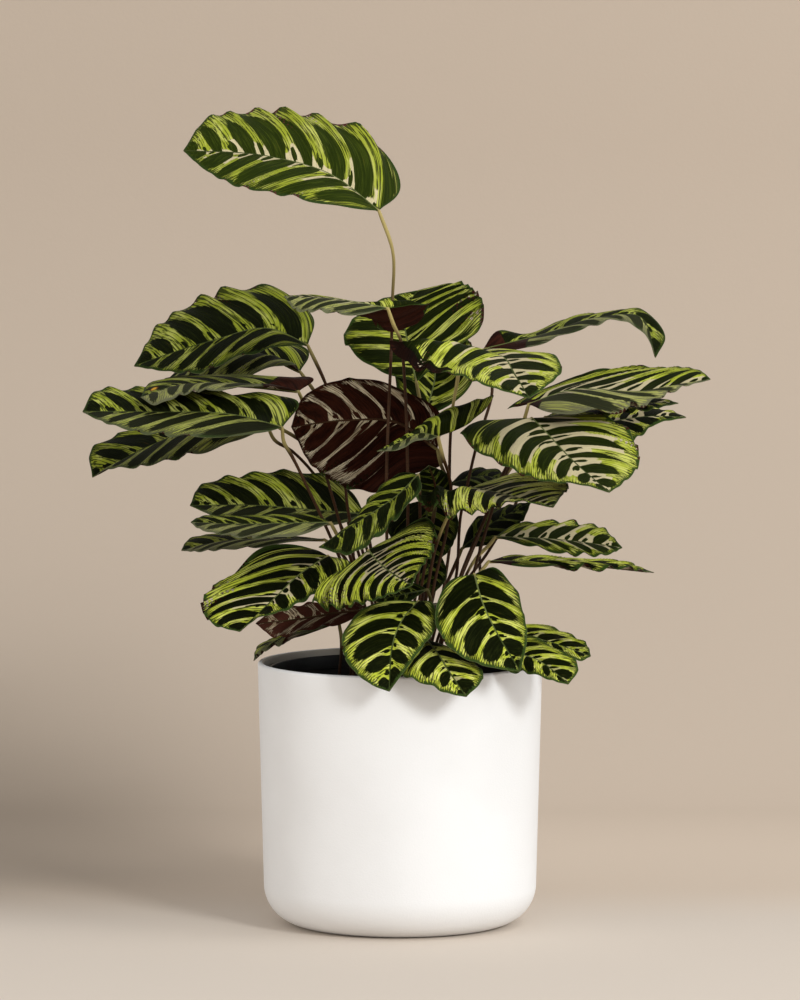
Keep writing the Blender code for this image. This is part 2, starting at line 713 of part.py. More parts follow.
def blade(leaf):
    """The blade's grid, split into triangles and thickened on both sides."""
    rows = 2 * leaf.waves[0] + 1
    bpy.ops.mesh.primitive_grid_add(x_subdivisions=rows, y_subdivisions=BLADE_COLUMNS, size=1)
    obj = bpy.context.object
    count = len(obj.data.vertices)
    flat = np.empty(count * 3)
    obj.data.vertices.foreach_get("co", flat)
    flat = flat.reshape(-1, 3)
    placed = blade_places(leaf, np.clip(flat[:, 0] + 0.5, 0, 1), np.clip(2 * flat[:, 1], -1, 1))
    obj.data.vertices.foreach_set("co", placed.ravel())
    shape = bmesh.new()
    shape.from_mesh(obj.data)
    bmesh.ops.triangulate(shape, faces=shape.faces)
    shape.to_mesh(obj.data)
    shape.free()
    thick = obj.modifiers.new("thickness", "SOLIDIFY")
    thick.thickness = BLADE_THICKNESS
    thick.offset = 0.0
    apply_modifiers(obj)
    return obj


def petiole(leaf):
    """A four-sided tube from the hole in the soil up into the blade's midrib."""
    x, y = np.array(leaf.foot) * MM
    root = (x, y, SOIL_CROWN - ROOT_DEPTH + ROOT_CLEAR)
    collar = (x, y, SOIL_CROWN + ROOT_CLEAR)
    rib = placed(leaf.rib)
    rising = np.vstack([root, collar, placed(leaf.stem)[::-1], rib[:1]])
    neck = len(rising) - 1
    places = np.vstack([rising, along(rib, np.array([0.06, 0.14]))])
    curve = bpy.data.curves.new("petiole", "CURVE")
    curve.dimensions = "3D"
    curve.bevel_depth = 1.0
    curve.bevel_resolution = 0
    curve.use_fill_caps = True
    spline = curve.splines.new("POLY")
    spline.points.add(len(places) - 1)
    for i, (point, place) in enumerate(zip(spline.points, places)):
        point.co = (*place, 1.0)
        point.radius = PULVINUS_RADIUS if i in (neck - 1, neck) else PETIOLE_RADIUS
    spline.points[len(places) - 1].radius = PETIOLE_RADIUS * 0.6
    guide = bpy.data.objects.new("petiole", curve)
    bpy.context.scene.collection.objects.link(guide)
    graph = bpy.context.evaluated_depsgraph_get()
    mesh = bpy.data.meshes.new_from_object(guide.evaluated_get(graph))
    bpy.data.objects.remove(guide, do_unlink=True)
    shape = bmesh.new()
    shape.from_mesh(mesh)
    bmesh.ops.remove_doubles(shape, verts=shape.verts, dist=0.00001)
    bmesh.ops.triangulate(shape, faces=shape.faces)
    bmesh.ops.recalc_face_normals(shape, faces=shape.faces)
    shape.to_mesh(mesh)
    shape.free()
    obj = bpy.data.objects.new("petiole", mesh)
    bpy.context.scene.collection.objects.link(obj)
    return obj


def main():
    for obj in list(bpy.data.objects):
        bpy.data.objects.remove(obj, do_unlink=True)
    plant = bpy.data.collections.new("potted_calathea")
    bpy.context.scene.collection.children.link(plant)

    pot = add_piece(cachepot(), "cachepot", (0.80, 0.79, 0.77), 0.45, plant)
    smooth(pot, math.radians(40))
    inner = add_piece(nursery_pot(), "nursery_pot", (0.012, 0.012, 0.012), 0.5, plant)
    smooth(inner, math.radians(40))
    feet = [(leaf.foot[0] * MM, leaf.foot[1] * MM) for leaf in LEAVES]
    add_piece(soil(feet), "soil", (0.020, 0.013, 0.009), 0.95, plant)

    for leaf in LEAVES:
        obj = blade(leaf)
        join(obj, petiole(leaf), "UNION", "MANIFOLD")
        add_piece(obj, leaf.name, (0.16, 0.28, 0.06), 0.42, plant)
        smooth(obj, math.radians(60))


main()
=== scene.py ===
"""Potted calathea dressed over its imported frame: fine waved blades, petioles, soil crumbs and finishes.

Every leaf is worked out again from the same places as its solid, on a finer grid, and each point
carries its place between the veins, so that the feathered pattern follows the blade on both sides.
"""

import math
from collections import namedtuple

import bpy
import numpy as np
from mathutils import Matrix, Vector

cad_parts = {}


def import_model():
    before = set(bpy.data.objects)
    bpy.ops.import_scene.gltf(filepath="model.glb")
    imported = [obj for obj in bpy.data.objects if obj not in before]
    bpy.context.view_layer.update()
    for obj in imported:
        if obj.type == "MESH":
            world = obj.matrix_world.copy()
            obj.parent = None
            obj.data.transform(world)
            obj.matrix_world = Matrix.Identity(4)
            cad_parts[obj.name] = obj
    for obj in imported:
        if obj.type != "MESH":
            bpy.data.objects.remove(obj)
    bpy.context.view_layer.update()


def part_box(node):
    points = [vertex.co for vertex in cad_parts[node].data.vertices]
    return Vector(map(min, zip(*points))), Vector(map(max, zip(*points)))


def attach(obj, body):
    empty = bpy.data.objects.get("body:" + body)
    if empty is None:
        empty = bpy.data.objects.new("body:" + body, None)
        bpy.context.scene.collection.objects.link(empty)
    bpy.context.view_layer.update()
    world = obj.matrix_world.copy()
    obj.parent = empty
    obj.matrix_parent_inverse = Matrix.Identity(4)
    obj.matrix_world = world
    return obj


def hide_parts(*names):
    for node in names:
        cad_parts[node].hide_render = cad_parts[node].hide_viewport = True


MM = 0.001

# The photo's camera: level across, aimed at the pot's axis, at 1500 pixels to a metre there
PHOTO_CENTRE = (400, 500)
PHOTO_HEIGHT = 1000
PHOTO_FOCAL = 6005.4
SENSOR = 36.0
CAMERA_BACK = 3.990
CAMERA_HEIGHT = 0.613
AIM_HEIGHT = 0.284

# Blades: rows are closer together at both ends and columns at the midrib, and upper sides mostly face
# the sky or the camera
BLADE_ROWS = 84
BLADE_COLUMNS = 41
END_CROWDING = 0.45
RIB_CROWDING = 1.25
BLADE_THICKNESS = 0.0005
BLADE_END = 0.0002
BLADE_BULGE = 0.07
SKY = np.array([0.0, -0.3, 1.0])

# Waves of the margin: their height in half widths, how much sharper crests are than troughs and what
# is taken off so that they rise and fall about the blade, how unequal they are, and by how many
# radians the near half's waves run ahead
WAVE_HEIGHT = 0.15
WAVE_CREST = 0.45
WAVE_LIFT = 1.05
WAVE_UNEVEN = 0.35
SIDE_TURN = 2.0

# By how much of its first slope a vein bends, the part of a wave by which the waves it counts come
# and go, and over how many waves it fans out at the base
VEIN_CURVE = 0.40
WANDER = 0.08
FAN = 0.5

# Petioles
STEM_RADIUS = 0.00105
SHEATH_RADIUS = 0.0022
SHEATH_LENGTH = 0.035
PULVINUS_RADIUS = 0.00130
PULVINUS_LENGTH = 0.027
RIB_END_RADIUS = 0.00018
RIB_DROP = 0.0003
STEM_ROWS = 90
RIB_ROWS = 46
RIB_SPAN = (0.01, 0.97)
STEM_SIDES = 12
ROOT_DEPTH = 0.018
COLLAR = 0.004

# A petiole's olive stretch below the blade: its length and how much longer it is on bright leaves, the
# length of its fade and how much longer that is on leaves with light ovals, and over how much past
# the blade's base the olive ends and the green comes
OLIVE_LENGTH = 0.005
OLIVE_MORE = 0.045
OLIVE_FADE = 0.010
OLIVE_RUN = 0.16
OLIVE_STOP = 0.008
GREEN_START = 0.004

# Pots and soil
POT_WALL = 0.0038
POT_CORNER = 0.027
POT_FOOT_SHARE = 0.96
POT_SIDES = 192
NURSERY_WALL = 0.0014
NURSERY_RIM_DROP = 0.010
NURSERY_WALL_SHARE = 0.966
NURSERY_FOOT_SHARE = 0.686
SOIL_FOOT_SHARE = 0.72
SOIL_DROP = 0.007
SOIL_ROUGHNESS = 0.0012
SOIL_RINGS = 70
SOIL_SIDES = 180
CRUMBS = 1400
CRUMB_SEED = 7
CRUMB_SIZES = (0.0006, 0.0019)
CRUMB_MARGIN = 0.003

# The sweep of paper that the pot stands on: its floor and its wall
FLOOR_WIDTH = 12.0
PAPER_WIDTH = 1.1
PAPER_HEIGHT = 0.75

# Each leaf's midrib from base to tip, the margin on each side of it and the petiole from the blade
# down: each point as pixels across, pixels down and depth behind the pot's axis in millimetres. The
# foot is where the petiole enters the soil, in millimetres, and waves holds the number and phase of
# the waves. Where the far and near halves differ from the rule, sides holds how much of the usual
# wave each has, and how far a vein runs on towards the tip on each.
Leaf = namedtuple("Leaf", "name tone waves foot rib far near stem sides", defaults=[None])

# How light the ovals and the ground between them are, how much of the ground has gone cream, the
# ovals' half width in waves, how far out they reach, how much painted grey sheen, a painted
# reflection, lies on the near half, how many waves from the base stay dark, how wide the fine dark
# lines are, and how far a vein runs on towards the tip, in distances from the midrib
Tone = namedtuple("Tone", "deep bright cream width length haze base_dark lined slope")
# How light a leaf is stands partly for its own tone and partly for painted light and shade: the shade
# tone darkens the leaves deep in the plant, and the lemon tone lightens the small leaves at the rim that
# lie under others
TONES = {
    "vivid": Tone(0.10, 1.10, 0.00, 0.40, 0.86, 0.00, -0.2, 0.55, 0.85),
    "lemon": Tone(0.12, 1.30, 0.10, 0.31, 0.80, 0.00, -0.4, 0.60, 1.10),
    "cream": Tone(0.46, 0.85, 0.66, 0.32, 0.84, 0.00, -0.5, 0.45, 0.85),
    "patchy": Tone(0.32, 1.05, 0.42, 0.32, 0.86, 0.00, -0.5, 0.60, 0.85),
    "bold": Tone(0.03, 1.05, 0.14, 0.37, 0.94, 0.00, -0.6, 0.70, 0.95),
    "light": Tone(0.05, 1.30, 0.24, 0.29, 0.92, 0.00, -0.9, 0.90, 1.00),
    "grey": Tone(0.28, 0.95, 0.12, 0.31, 0.94, 0.42, -0.5, 0.60, 1.20),
    "tan": Tone(0.32, 1.10, 0.24, 0.30, 0.90, 0.50, -0.5, 0.50, 1.20),
    "lined": Tone(0.12, 1.30, 0.12, 0.25, 0.90, 0.22, -0.5, 0.80, 1.20),
    "green": Tone(0.85, 0.72, 0.16, 0.35, 0.96, 0.00, -9.0, 0.60, 0.85),
    "mid": Tone(0.22, 0.74, 0.00, 0.31, 0.97, 0.00, -9.0, 0.60, 0.85),
    "deep": Tone(0.08, 0.54, 0.00, 0.36, 0.92, 0.00, -0.9, 0.85, 1.15),
    "olive": Tone(0.05, 0.62, 0.05, 0.33, 0.94, 0.20, -0.9, 0.85, 1.30),
    "dull": Tone(0.15, 0.60, 0.06, 0.31, 0.94, 0.40, -9.0, 0.75, 1.30),
    "maroon": Tone(0.05, 0.50, 0.00, 0.36, 0.95, 0.00, 0.30, 0.60, 0.85),
    "pink": Tone(0.60, 0.50, 0.00, 0.27, 0.90, 0.00, -0.6, 0.60, 0.85),
    "shade": Tone(0.00, 0.10, 0.00, 0.36, 0.92, 0.00, 0.40, 0.50, 0.85),
}
BRIGHTEST = 1.3

# Leaves that show the camera the other side of what the solid's shape gives
TURNED = {"cupped"}

# Leaves rolled over near the base, so that the underside's finish shows above, up to these shares of
# the length of their far and near halves, and how light the ovals are there
ROLLED = {
    "left_flat": (0.20, 0.30),
    "ribbon": (0.12, 0.24),
    "right_edge": (0.10, 0.16),
    "right_high": (0.08, 0.10),
}
ROLLED_DEEP = 0.1

# Leaves whose far margin is turned under, from where to where along the blade, and how much of the
# half width
HEMMED = {"bright_tent": (0.08, 0.62)}
HEM_WIDTH = 0.16

# Waves from the base that stay dark where a leaf is rolled over or turned under: all of them
ALL_DARK = 20.0

# Dry spots: their place along and across the blade and their radius in lengths of the blade, of which
# a half blade is about this many wide
DRY_SPOTS = {"left_flat": (0.86, 0.30, 0.045), "right_high": (0.97, -0.30, 0.020)}
NO_SPOT = (0.0, 0.0, 1e-9)
HALF_BLADE = 0.3

# Where in a wave the large ovals lie, in turns, over how much of the half width their ends taper, how
# many millimetres wide the green border is, and how many half widths the blade's base and tip count
# as further off than they are
OVAL_TURN = 0.65
OVAL_END = 0.40
BORDER_WIDTH = 1.6
END_MARGIN = 0.15

# The sheet that the pattern is baked on: left, foot, width and height of the blade's upper side, how
# far right of that the underside lies, and the same four of the petiole's strip
SHEET_BLADE = (0.02, 0.08, 0.46, 0.90)
SHEET_UNDER = 0.5
SHEET_STRIP = (0.02, 0.01, 0.96, 0.05)

# Numbers of a leaf's materials
UPPER_SIDE, UNDERSIDE, PETIOLE = range(3)

LEAVES = [
    Leaf(
        "top", "green", waves=(7, 0.2), foot=(-8, -12),
        rib="379 211 -8, 330 174 -12, 268 157 -16, 183 151 -22",
        far="400 188 20, 384 146 34, 335 120 38, 250 111 30, 205 119 2",
        near="354 209 -34, 290 196 -58, 228 182 -52, 201 166 -36",
        stem="392 250 -6, 392 300 2, 391 356 2, 390 392 -14, 386 480 -22, 388 600 -14",
        sides=(0.8, 0.35, 0.5, 0.95),
    ),
    Leaf(
        "left_high", "deep", waves=(6, 1.1), foot=(-16, 10),
        rib="307 345 40, 270 329 38, 210 341 32, 134 366 22",
        far="314 318 60, 272 287 78, 215 294 76, 163 321 58",
        near="282 348 12, 240 356 0, 196 372 0, 160 371 8",
        stem="327 388 44, 340 440 48, 345 480 46, 346 498 38, 351 525 22, 372 600 16",
        sides=(0.9, 0.5, 0.45, 1.2),
    ),
    Leaf(
        "left_high_back", "olive", waves=(5, 2.0), foot=(-10, 28),
        rib="300 372 92, 255 352 92, 215 356 90, 168 380 84",
        far="308 352 118, 262 338 130, 205 348 120",
        near="290 366 66, 240 378 60, 195 381 66",
        stem="315 392 82, 345 480 78, 354 520 74, 375 600 42",
    ),
    Leaf(
        "left_flat", "dull", waves=(6, 0.6), foot=(-20, 0),
        rib="298 392 24, 240 386 4, 180 385 -10, 141 398 -38",
        far="314 380 36, 262 376 38, 200 377 34, 152 382 6",
        near="280 386 2, 230 390 -32, 185 393 -46, 154 404 -50",
        stem="303 402 34, 317 440 54, 328 480 46, 335 505 36, 341 525 25, 354 570 16, 365 610 8",
        sides=(0.5, 0.4, 1.2, 1.2),
    ),
    Leaf(
        "left_long", "olive", waves=(6, 1.6), foot=(-26, -12),
        rib="282 428 -22, 240 416 -28, 150 412 -36, 83 412 -46",
        far="299 404 -8, 230 392 -2, 135 388 -6, 94 391 -26",
        near="262 433 -44, 203 437 -66, 140 433 -68, 100 420 -58",
        stem="284 442 -18, 292 456 -16, 309 489 -10, 334 545 -2, 366 630 -6",
        sides=(0.8, 0.5, 0.8, 1.4),
    ),
    Leaf(
        "left_behind", "olive", waves=(6, 0.2), foot=(-28, 18),
        rib="268 428 50, 210 426 48, 150 446 44, 92 477 38",
        far="262 412 80, 200 405 84, 130 431 74, 91 451 56",
        near="240 441 26, 185 457 14, 140 467 16, 105 470 26",
        stem="275 440 60, 292 452 74, 315 475 84, 338 520 80, 355 565 58",
        sides=(0.8, 0.6, 0.9, 1.2),
    ),
    Leaf(
        "maroon_back", "maroon", waves=(6, 0.8), foot=(9, 3),
        rib="438 449 12, 397 422 12, 345 421 18, 291 427 26",
        far="442 418 4, 405 390 0, 350 378 6, 301 400 16",
        near="444 462 20, 415 474 30, 370 492 38, 313 468 36",
        stem="441 463 10, 448 482 12, 446 520 22, 438 570 20, 426 620 12",
        sides=(0.5, 0.5, 0.8, 1.35),
    ),
    Leaf(
        "tent_high", "grey", waves=(6, 1.9), foot=(0, -10),
        rib="388 308 -42, 340 300 -50, 284 296 -62",
        far="428 305 -22, 396 333 -3, 366 317 -5, 320 299 -28",
        near="351 315 -70, 322 312 -82, 298 311 -80",
        stem="393 321 -38, 401 344 -16, 404 380 -18, 408 468 -18, 408 540 -14, 404 600 -10",
        sides=(0.5, 0.5, 1.3, 1.3),
    ),
    Leaf(
        "round_back", "mid", waves=(7, 0.4), foot=(-3, 14),
        rib="416 382 30, 407 342 50, 405 314 66, 417 291 80",
        far="380 371 34, 343 338 46, 360 313 60, 394 296 74",
        near="452 352 38, 478 331 50, 483 302 62, 463 283 74, 438 286 80",
        stem="420 398 34, 426 450 42, 424 500 36, 408 610 20",
        sides=(0.8, 0.8, 0.1, 0.7),
    ),
    Leaf(
        "hidden_back", "mid", waves=(7, 1.2), foot=(6, 28),
        rib="425 416 86, 435 370 96, 425 328 104, 432 300 108",
        far="400 395 88, 395 360 96, 408 320 104",
        near="446 408 88, 469 387 94, 478 362 100, 462 330 106",
        stem="430 440 78, 436 520 52, 422 620 32",
    ),
    Leaf(
        "bright_tent", "patchy", waves=(6, 0.2), foot=(16, -2),
        rib="458 355 4, 500 355 -28, 516 377 -66, 529 399 -94",
        far="425 350 -14, 390 345 -43, 412 368 -56, 450 374 -74, 492 387 -93",
        near="486 350 10, 525 352 -12, 556 357 -42, 562 371 -62, 546 386 -84",
        stem="459 370 4, 453 410 4, 450 480 4, 451 530 10, 444 590 6",
        sides=(0.4, 0.4, 1.2, 0.8),
    ),
    Leaf(
        "curled", "dull", waves=(5, 0.5), foot=(14, -14),
        rib="438 436 -50, 420 433 -62, 400 442 -75, 377 451 -88",
        far="468 424 -32, 494 396 -15, 455 410 -30, 420 429 -58",
        near="430 440 -66, 415 441 -78, 400 449 -84",
        stem="443 456 -44, 449 474 -30, 451 492 -20, 446 530 -14, 434 583 -12",
        sides=(0.3, 0.3, 1.4, 1.4),
    ),
    Leaf(
        "right_big", "cream", waves=(6, 1.0), foot=(30, 0),
        rib="532 418 10, 548 434 -18, 572 460 -60, 609 493 -100",
        far="488 420 0, 460 432 -22, 488 457 -55, 540 480 -85, 590 486 -100",
        near="569 418 18, 618 422 -5, 640 460 -45, 623 482 -80",
        stem="524 436 16, 505 470 10, 492 512 6, 474 573 0",
        sides=(0.45, 0.8, 1.2, 0.6),
    ),
    Leaf(
        "right_high", "tan", waves=(6, 0.3), foot=(24, 6),
        rib="528 404 15, 570 391 20, 640 391 22, 711 380 24",
        far="508 408 30, 552 388 50, 603 370 60, 660 367 58, 700 370 38",
        near="545 411 -5, 588 412 -24, 643 405 -22, 677 390 -2",
        stem="524 420 18, 508 470 18, 488 512 14, 462 573 8",
        sides=(0.5, 0.8, 2.0, 1.1),
    ),
    Leaf(
        "ribbon", "dull", waves=(6, 0.9), foot=(18, 10),
        rib="484 349 44, 540 336 50, 600 318 54, 640 318 54, 656 358 48",
        far="495 332 52, 530 334 66, 570 318 78, 610 313 76, 640 309 66, 666 337 56",
        near="505 352 34, 550 341 26, 590 327 30, 625 322 42, 648 339 44",
        stem="492 390 40, 485 420 34, 477 443 30, 467 485 20, 461 513 20, 456 573 16",
        sides=(0.6, 0.6, 1.3, 1.3),
    ),
    Leaf(
        "right_back", "light", waves=(5, 1.7), foot=(22, 28),
        rib="560 432 60, 610 422 76, 650 416 84, 686 418 90",
        far="590 416 95, 635 405 108, 668 410 104",
        near="590 442 50, 630 442 60, 655 425 76",
        stem="552 445 66, 530 470 92, 512 510 100, 490 550 86, 455 600 48",
    ),
    Leaf(
        "right_flat", "light", waves=(6, 0.5), foot=(24, 16),
        rib="545 417 50, 600 410 52, 650 404 54, 678 403 54",
        far="560 411 64, 610 404 72, 655 398 68",
        near="560 419 38, 605 415 32, 650 409 38",
        stem="535 430 44, 508 466 28, 496 490 24, 480 530 20, 456 590 18",
    ),
    Leaf(
        "tent_low", "lined", waves=(6, 0.6), foot=(10, -20),
        rib="470 488 -8, 500 494 -32, 530 501 -60, 554 508 -85",
        far="440 494 -34, 415 496 -52, 442 512 -73, 478 513 -86, 520 501 -92",
        near="495 481 6, 523 474 -2, 552 477 -20, 568 486 -50, 562 496 -72",
        stem="458 500 -22, 450 512 -28, 436 545 -26, 428 583 -22",
    ),
    Leaf(
        "mid_back", "shade", waves=(5, 0.1), foot=(12, 20),
        rib="450 484 44, 480 476 50, 520 484 54",
        far="470 469 62, 500 472 66",
        near="470 490 34, 500 492 36",
        stem="448 500 44, 440 560 34",
    ),
    Leaf(
        "dark_mid", "shade", waves=(5, 1.3), foot=(14, 34),
        rib="462 548 62, 495 522 72, 531 502 78",
        far="470 524 78, 502 506 90",
        near="492 543 58, 522 522 66",
        stem="456 562 56, 440 600 44",
    ),
    Leaf(
        "right_low", "cream", waves=(6, 0.8), foot=(36, 18),
        rib="495 537 36, 554 540 40, 622 548 44",
        far="514 525 56, 565 522 70, 602 528 62",
        near="513 541 26, 568 555 18, 608 555 28",
        stem="490 543 34, 478 557 32, 455 610 26",
    ),
    Leaf(
        "right_edge", "light", waves=(6, 1.5), foot=(36, -8),
        rib="488 562 -12, 540 562 -14, 600 566 -16, 654 573 -18",
        far="512 556 6, 568 562 16, 620 563 12",
        near="522 566 -34, 569 568 -50, 628 568 -42",
        stem="480 574 -12, 458 620 -12",
    ),
    Leaf(
        "front_right", "vivid", waves=(5, 0.2), foot=(24, -24),
        rib="474 574 -50, 481 598 -66, 494 627 -86, 520 671 -108",
        far="493 567 -42, 512 584 -52, 524 612 -68, 527 638 -86, 523 660 -104",
        near="455 578 -55, 438 600 -72, 437 628 -90, 455 653 -105, 492 668 -112",
        stem="468 600 -40, 450 650 -32",
        sides=(0.6, 0.4, 0.85, 0.85),
    ),
    Leaf(
        "front_left", "vivid", waves=(5, 1.0), foot=(4, -30),
        rib="418 602 -50, 402 622 -72, 393 646 -95, 389 691 -118",
        far="392 600 -54, 357 614 -68, 342 642 -88, 349 665 -106, 372 685 -116",
        near="431 602 -62, 436 624 -80, 420 650 -100, 399 679 -116",
        stem="420 620 -42, 418 660 -32",
        sides=(0.6, 0.4, 0.85, 0.85),
    ),
    Leaf(
        "front_small", "lemon", waves=(4, 0.4), foot=(14, -32),
        rib="426 640 -62, 436 653 -84, 450 674 -108, 466 697 -122",
        far="412 655 -84, 403 675 -108, 426 684 -118, 450 694 -122",
        near="455 648 -80, 479 665 -98, 483 679 -112",
        stem="424 655 -50, 424 680 -38",
    ),
    Leaf(
        "front_rim", "lemon", waves=(4, 1.6), foot=(36, -22),
        rib="505 650 -55, 540 662 -78, 569 685 -94",
        far="500 669 -78, 530 674 -92, 556 682 -97",
        near="526 638 -50, 560 650 -62, 578 668 -80",
        stem="490 648 -44, 470 665 -34",
    ),
    Leaf(
        "right_rim", "lemon", waves=(4, 0.7), foot=(44, -10),
        rib="500 632 -22, 545 641 -32, 590 656 -45",
        far="526 623 -5, 562 631 -12, 587 645 -28",
        near="525 648 -38, 560 656 -48, 580 660 -52",
        stem="490 636 -18, 470 652 -14",
    ),
    Leaf(
        "centre", "light", waves=(7, 0.2), foot=(-12, -24),
        rib="369 551 -30, 381 564 -52, 394 575 -74, 412 585 -96",
        far="345 568 -44, 311 602 -70, 330 608 -84, 360 603 -94, 390 595 -100",
        near="394 535 -30, 430 520 -45, 433 550 -72, 416 577 -92",
        stem="372 570 -22, 384 640 -18",
    ),
    Leaf(
        "s_curve", "deep", waves=(6, 1.4), foot=(2, -20),
        rib="418 475 -40, 398 495 -55, 370 515 -70, 345 530 -84, 319 548 -97",
        far="402 472 -30, 378 490 -42, 356 517 -62, 335 536 -82",
        near="421 488 -56, 404 509 -74, 382 533 -92, 350 555 -102",
        stem="420 500 -26, 420 560 -16, 412 620 -16",
    ),
    Leaf(
        "cupped", "shade", waves=(5, 0.9), foot=(6, -6),
        rib="436 500 -4, 434 484 -14, 428 465 -24",
        far="419 495 -16, 414 480 -22",
        near="453 490 -6, 446 473 -16",
        stem="434 510 -10, 428 545 -10, 420 600 -6",
    ),
    Leaf(
        "dark_centre", "shade", waves=(5, 1.1), foot=(5, 9),
        rib="425 500 6, 428 530 2, 432 566 -8",
        far="400 508 8, 386 525 4, 402 550 -2",
        near="452 504 2, 459 524 0, 450 550 -4",
        stem="430 510 16, 432 560 24, 420 610 16",
    ),
    Leaf(
        "under_dark", "shade", waves=(5, 0.3), foot=(-4, 6),
        rib="425 548 10, 428 570 6, 431 596 -2",
        far="410 560 6, 413 582 -2",
        near="440 556 8, 446 578 2",
        stem="424 562 18, 418 630 6",
    ),
    Leaf(
        "under_centre", "shade", waves=(5, 0.7), foot=(12, -26),
        rib="427 590 -30, 400 595 -38, 374 601 -44",
        far="412 583 -26, 388 588 -30",
        near="405 604 -42, 388 606 -46",
        stem="430 598 -26, 424 640 -24",
    ),
    Leaf(
        "left_low", "bold", waves=(6, 0.9), foot=(-32, -12),
        rib="328 556 -16, 299 576 -36, 275 597 -54, 240 632 -80",
        far="313 548 -4, 268 549 -2, 224 579 -16, 201 607 -43, 216 625 -68",
        near="352 563 -24, 325 587 -44, 290 608 -66, 252 622 -84",
        stem="337 568 -12, 350 605 -10, 356 630 -10",
        sides=(0.9, 0.8, 1.1, 0.7),
    ),
    Leaf(
        "left_mid", "olive", waves=(6, 0.1), foot=(-8, 18),
        rib="365 514 52, 317 510 46, 258 506 38, 190 505 26",
        far="352 490 66, 300 471 70, 250 475 66, 202 485 52",
        near="340 524 36, 290 524 26, 225 520 14",
        stem="368 530 46, 380 610 28",
        sides=(0.8, 0.6, 0.8, 1.3),
    ),
    Leaf(
        "left_glance", "dull", waves=(6, 1.2), foot=(-33, 6),
        rib="330 522 -25, 285 524 -32, 235 525 -38, 190 523 -46",
        far="312 515 -14, 258 515 -18, 198 518 -34",
        near="302 534 -46, 250 538 -60, 198 528 -56",
        stem="340 540 -18, 350 558 -6, 356 590 3, 353 620 7",
        sides=(0.5, 0.4, 1.3, 1.3),
    ),
    Leaf(
        "left_edge", "dull", waves=(6, 0.6), foot=(-20, 26),
        rib="325 540 50, 280 539 52, 230 541 54, 181 550 56",
        far="300 537 66, 250 536 82, 188 539 72",
        near="300 541 36, 250 547 24, 192 552 38",
        stem="340 552 42, 362 620 28",
        sides=(0.4, 0.4, 1.3, 1.3),
    ),
    Leaf(
        "maroon_low", "pink", waves=(5, 0.4), foot=(-22, -28),
        rib="372 609 -20, 340 612 -30, 300 619 -44, 256 623 -56",
        far="345 601 -40, 300 605 -52, 266 615 -60",
        near="345 622 -16, 310 629 -24, 276 638 -38",
        stem="376 622 -18, 374 650 -24",
    ),
    Leaf(
        "rim_left", "dull", waves=(5, 1.0), foot=(-42, -2),
        rib="338 621 0, 305 633 4, 270 645 8, 253 661 10",
        far="320 627 18, 290 637 30, 259 647 26",
        near="320 629 -14, 290 640 -22, 264 652 -14",
        stem="341 640 -2, 340 666 -4",
    ),
    Leaf(
        "rear_high", "deep", waves=(5, 0.7), foot=(0, 38),
        rib="412 352 116, 402 338 160, 396 335 205",
        far="380 350 128, 355 342 165, 372 338 192",
        near="440 345 130, 452 334 168, 425 332 194",
        stem="420 400 96, 424 500 66, 424 600 44",
    ),
    Leaf(
        "rear_centre", "shade", waves=(5, 1.5), foot=(-2, 44),
        rib="398 455 74, 388 440 125, 378 446 178",
        far="362 455 88, 338 448 132, 352 450 165",
        near="430 448 88, 438 436 132, 408 440 166",
        stem="400 480 70, 404 560 52",
    ),
    Leaf(
        "rear_right", "deep", waves=(5, 0.4), foot=(36, 40),
        rib="515 462 98, 545 448 138, 572 452 178",
        far="505 450 120, 512 440 156, 545 444 178",
        near="545 466 98, 586 456 124, 595 455 150",
        stem="505 476 104, 484 530 104, 478 600 58",
    ),
    Leaf(
        "rear_left", "deep", waves=(5, 1.1), foot=(-12, 38),
        rib="275 425 96, 238 408 140, 205 412 186",
        far="282 412 122, 258 402 162, 222 408 186",
        near="240 430 96, 200 420 128, 188 416 162",
        stem="300 440 94, 345 500 90, 376 590 54",
    ),
    Leaf(
        "rear_low", "shade", waves=(5, 0.2), foot=(20, 52),
        rib="430 622 52, 424 606 100, 418 612 150",
        far="402 620 62, 382 612 105, 396 612 138",
        near="458 616 64, 470 608 108, 444 610 140",
        stem="430 640 48, 430 665 46",
    ),
    Leaf(
        "rear_low_left", "shade", waves=(5, 1.3), foot=(-6, 54),
        rib="388 588 60, 370 572 100, 350 574 142",
        far="362 588 62, 334 580 98, 334 577 128",
        near="404 578 80, 398 570 116, 372 572 140",
        stem="392 600 56, 395 650 52",
    ),
    Leaf(
        "rear_left_low", "shade", waves=(5, 0.5), foot=(-25, 48),
        rib="345 508 96, 308 496 132, 272 500 172",
        far="350 500 118, 330 492 150, 292 496 170",
        near="316 514 98, 274 506 122, 258 503 152",
        stem="350 528 90, 356 585 60, 364 630 52",
    ),
]


class Term:
    """A number socket of a material. Operators on it add Math nodes."""

    def __init__(self, paint, socket):
        self.paint = paint
        self.socket = socket

    def __add__(self, other):
        return self.paint.math("ADD", self, other)

    def __sub__(self, other):
        return self.paint.math("SUBTRACT", self, other)

    def __rsub__(self, other):
        return self.paint.math("SUBTRACT", other, self)

    def __mul__(self, other):
        return self.paint.math("MULTIPLY", self, other)

    def __truediv__(self, other):
        return self.paint.math("DIVIDE", self, other)

    def __pow__(self, other):
        return self.paint.math("POWER", self, other)

    def __abs__(self):
        return self.paint.math("ABSOLUTE", self)

    __radd__ = __add__
    __rmul__ = __mul__


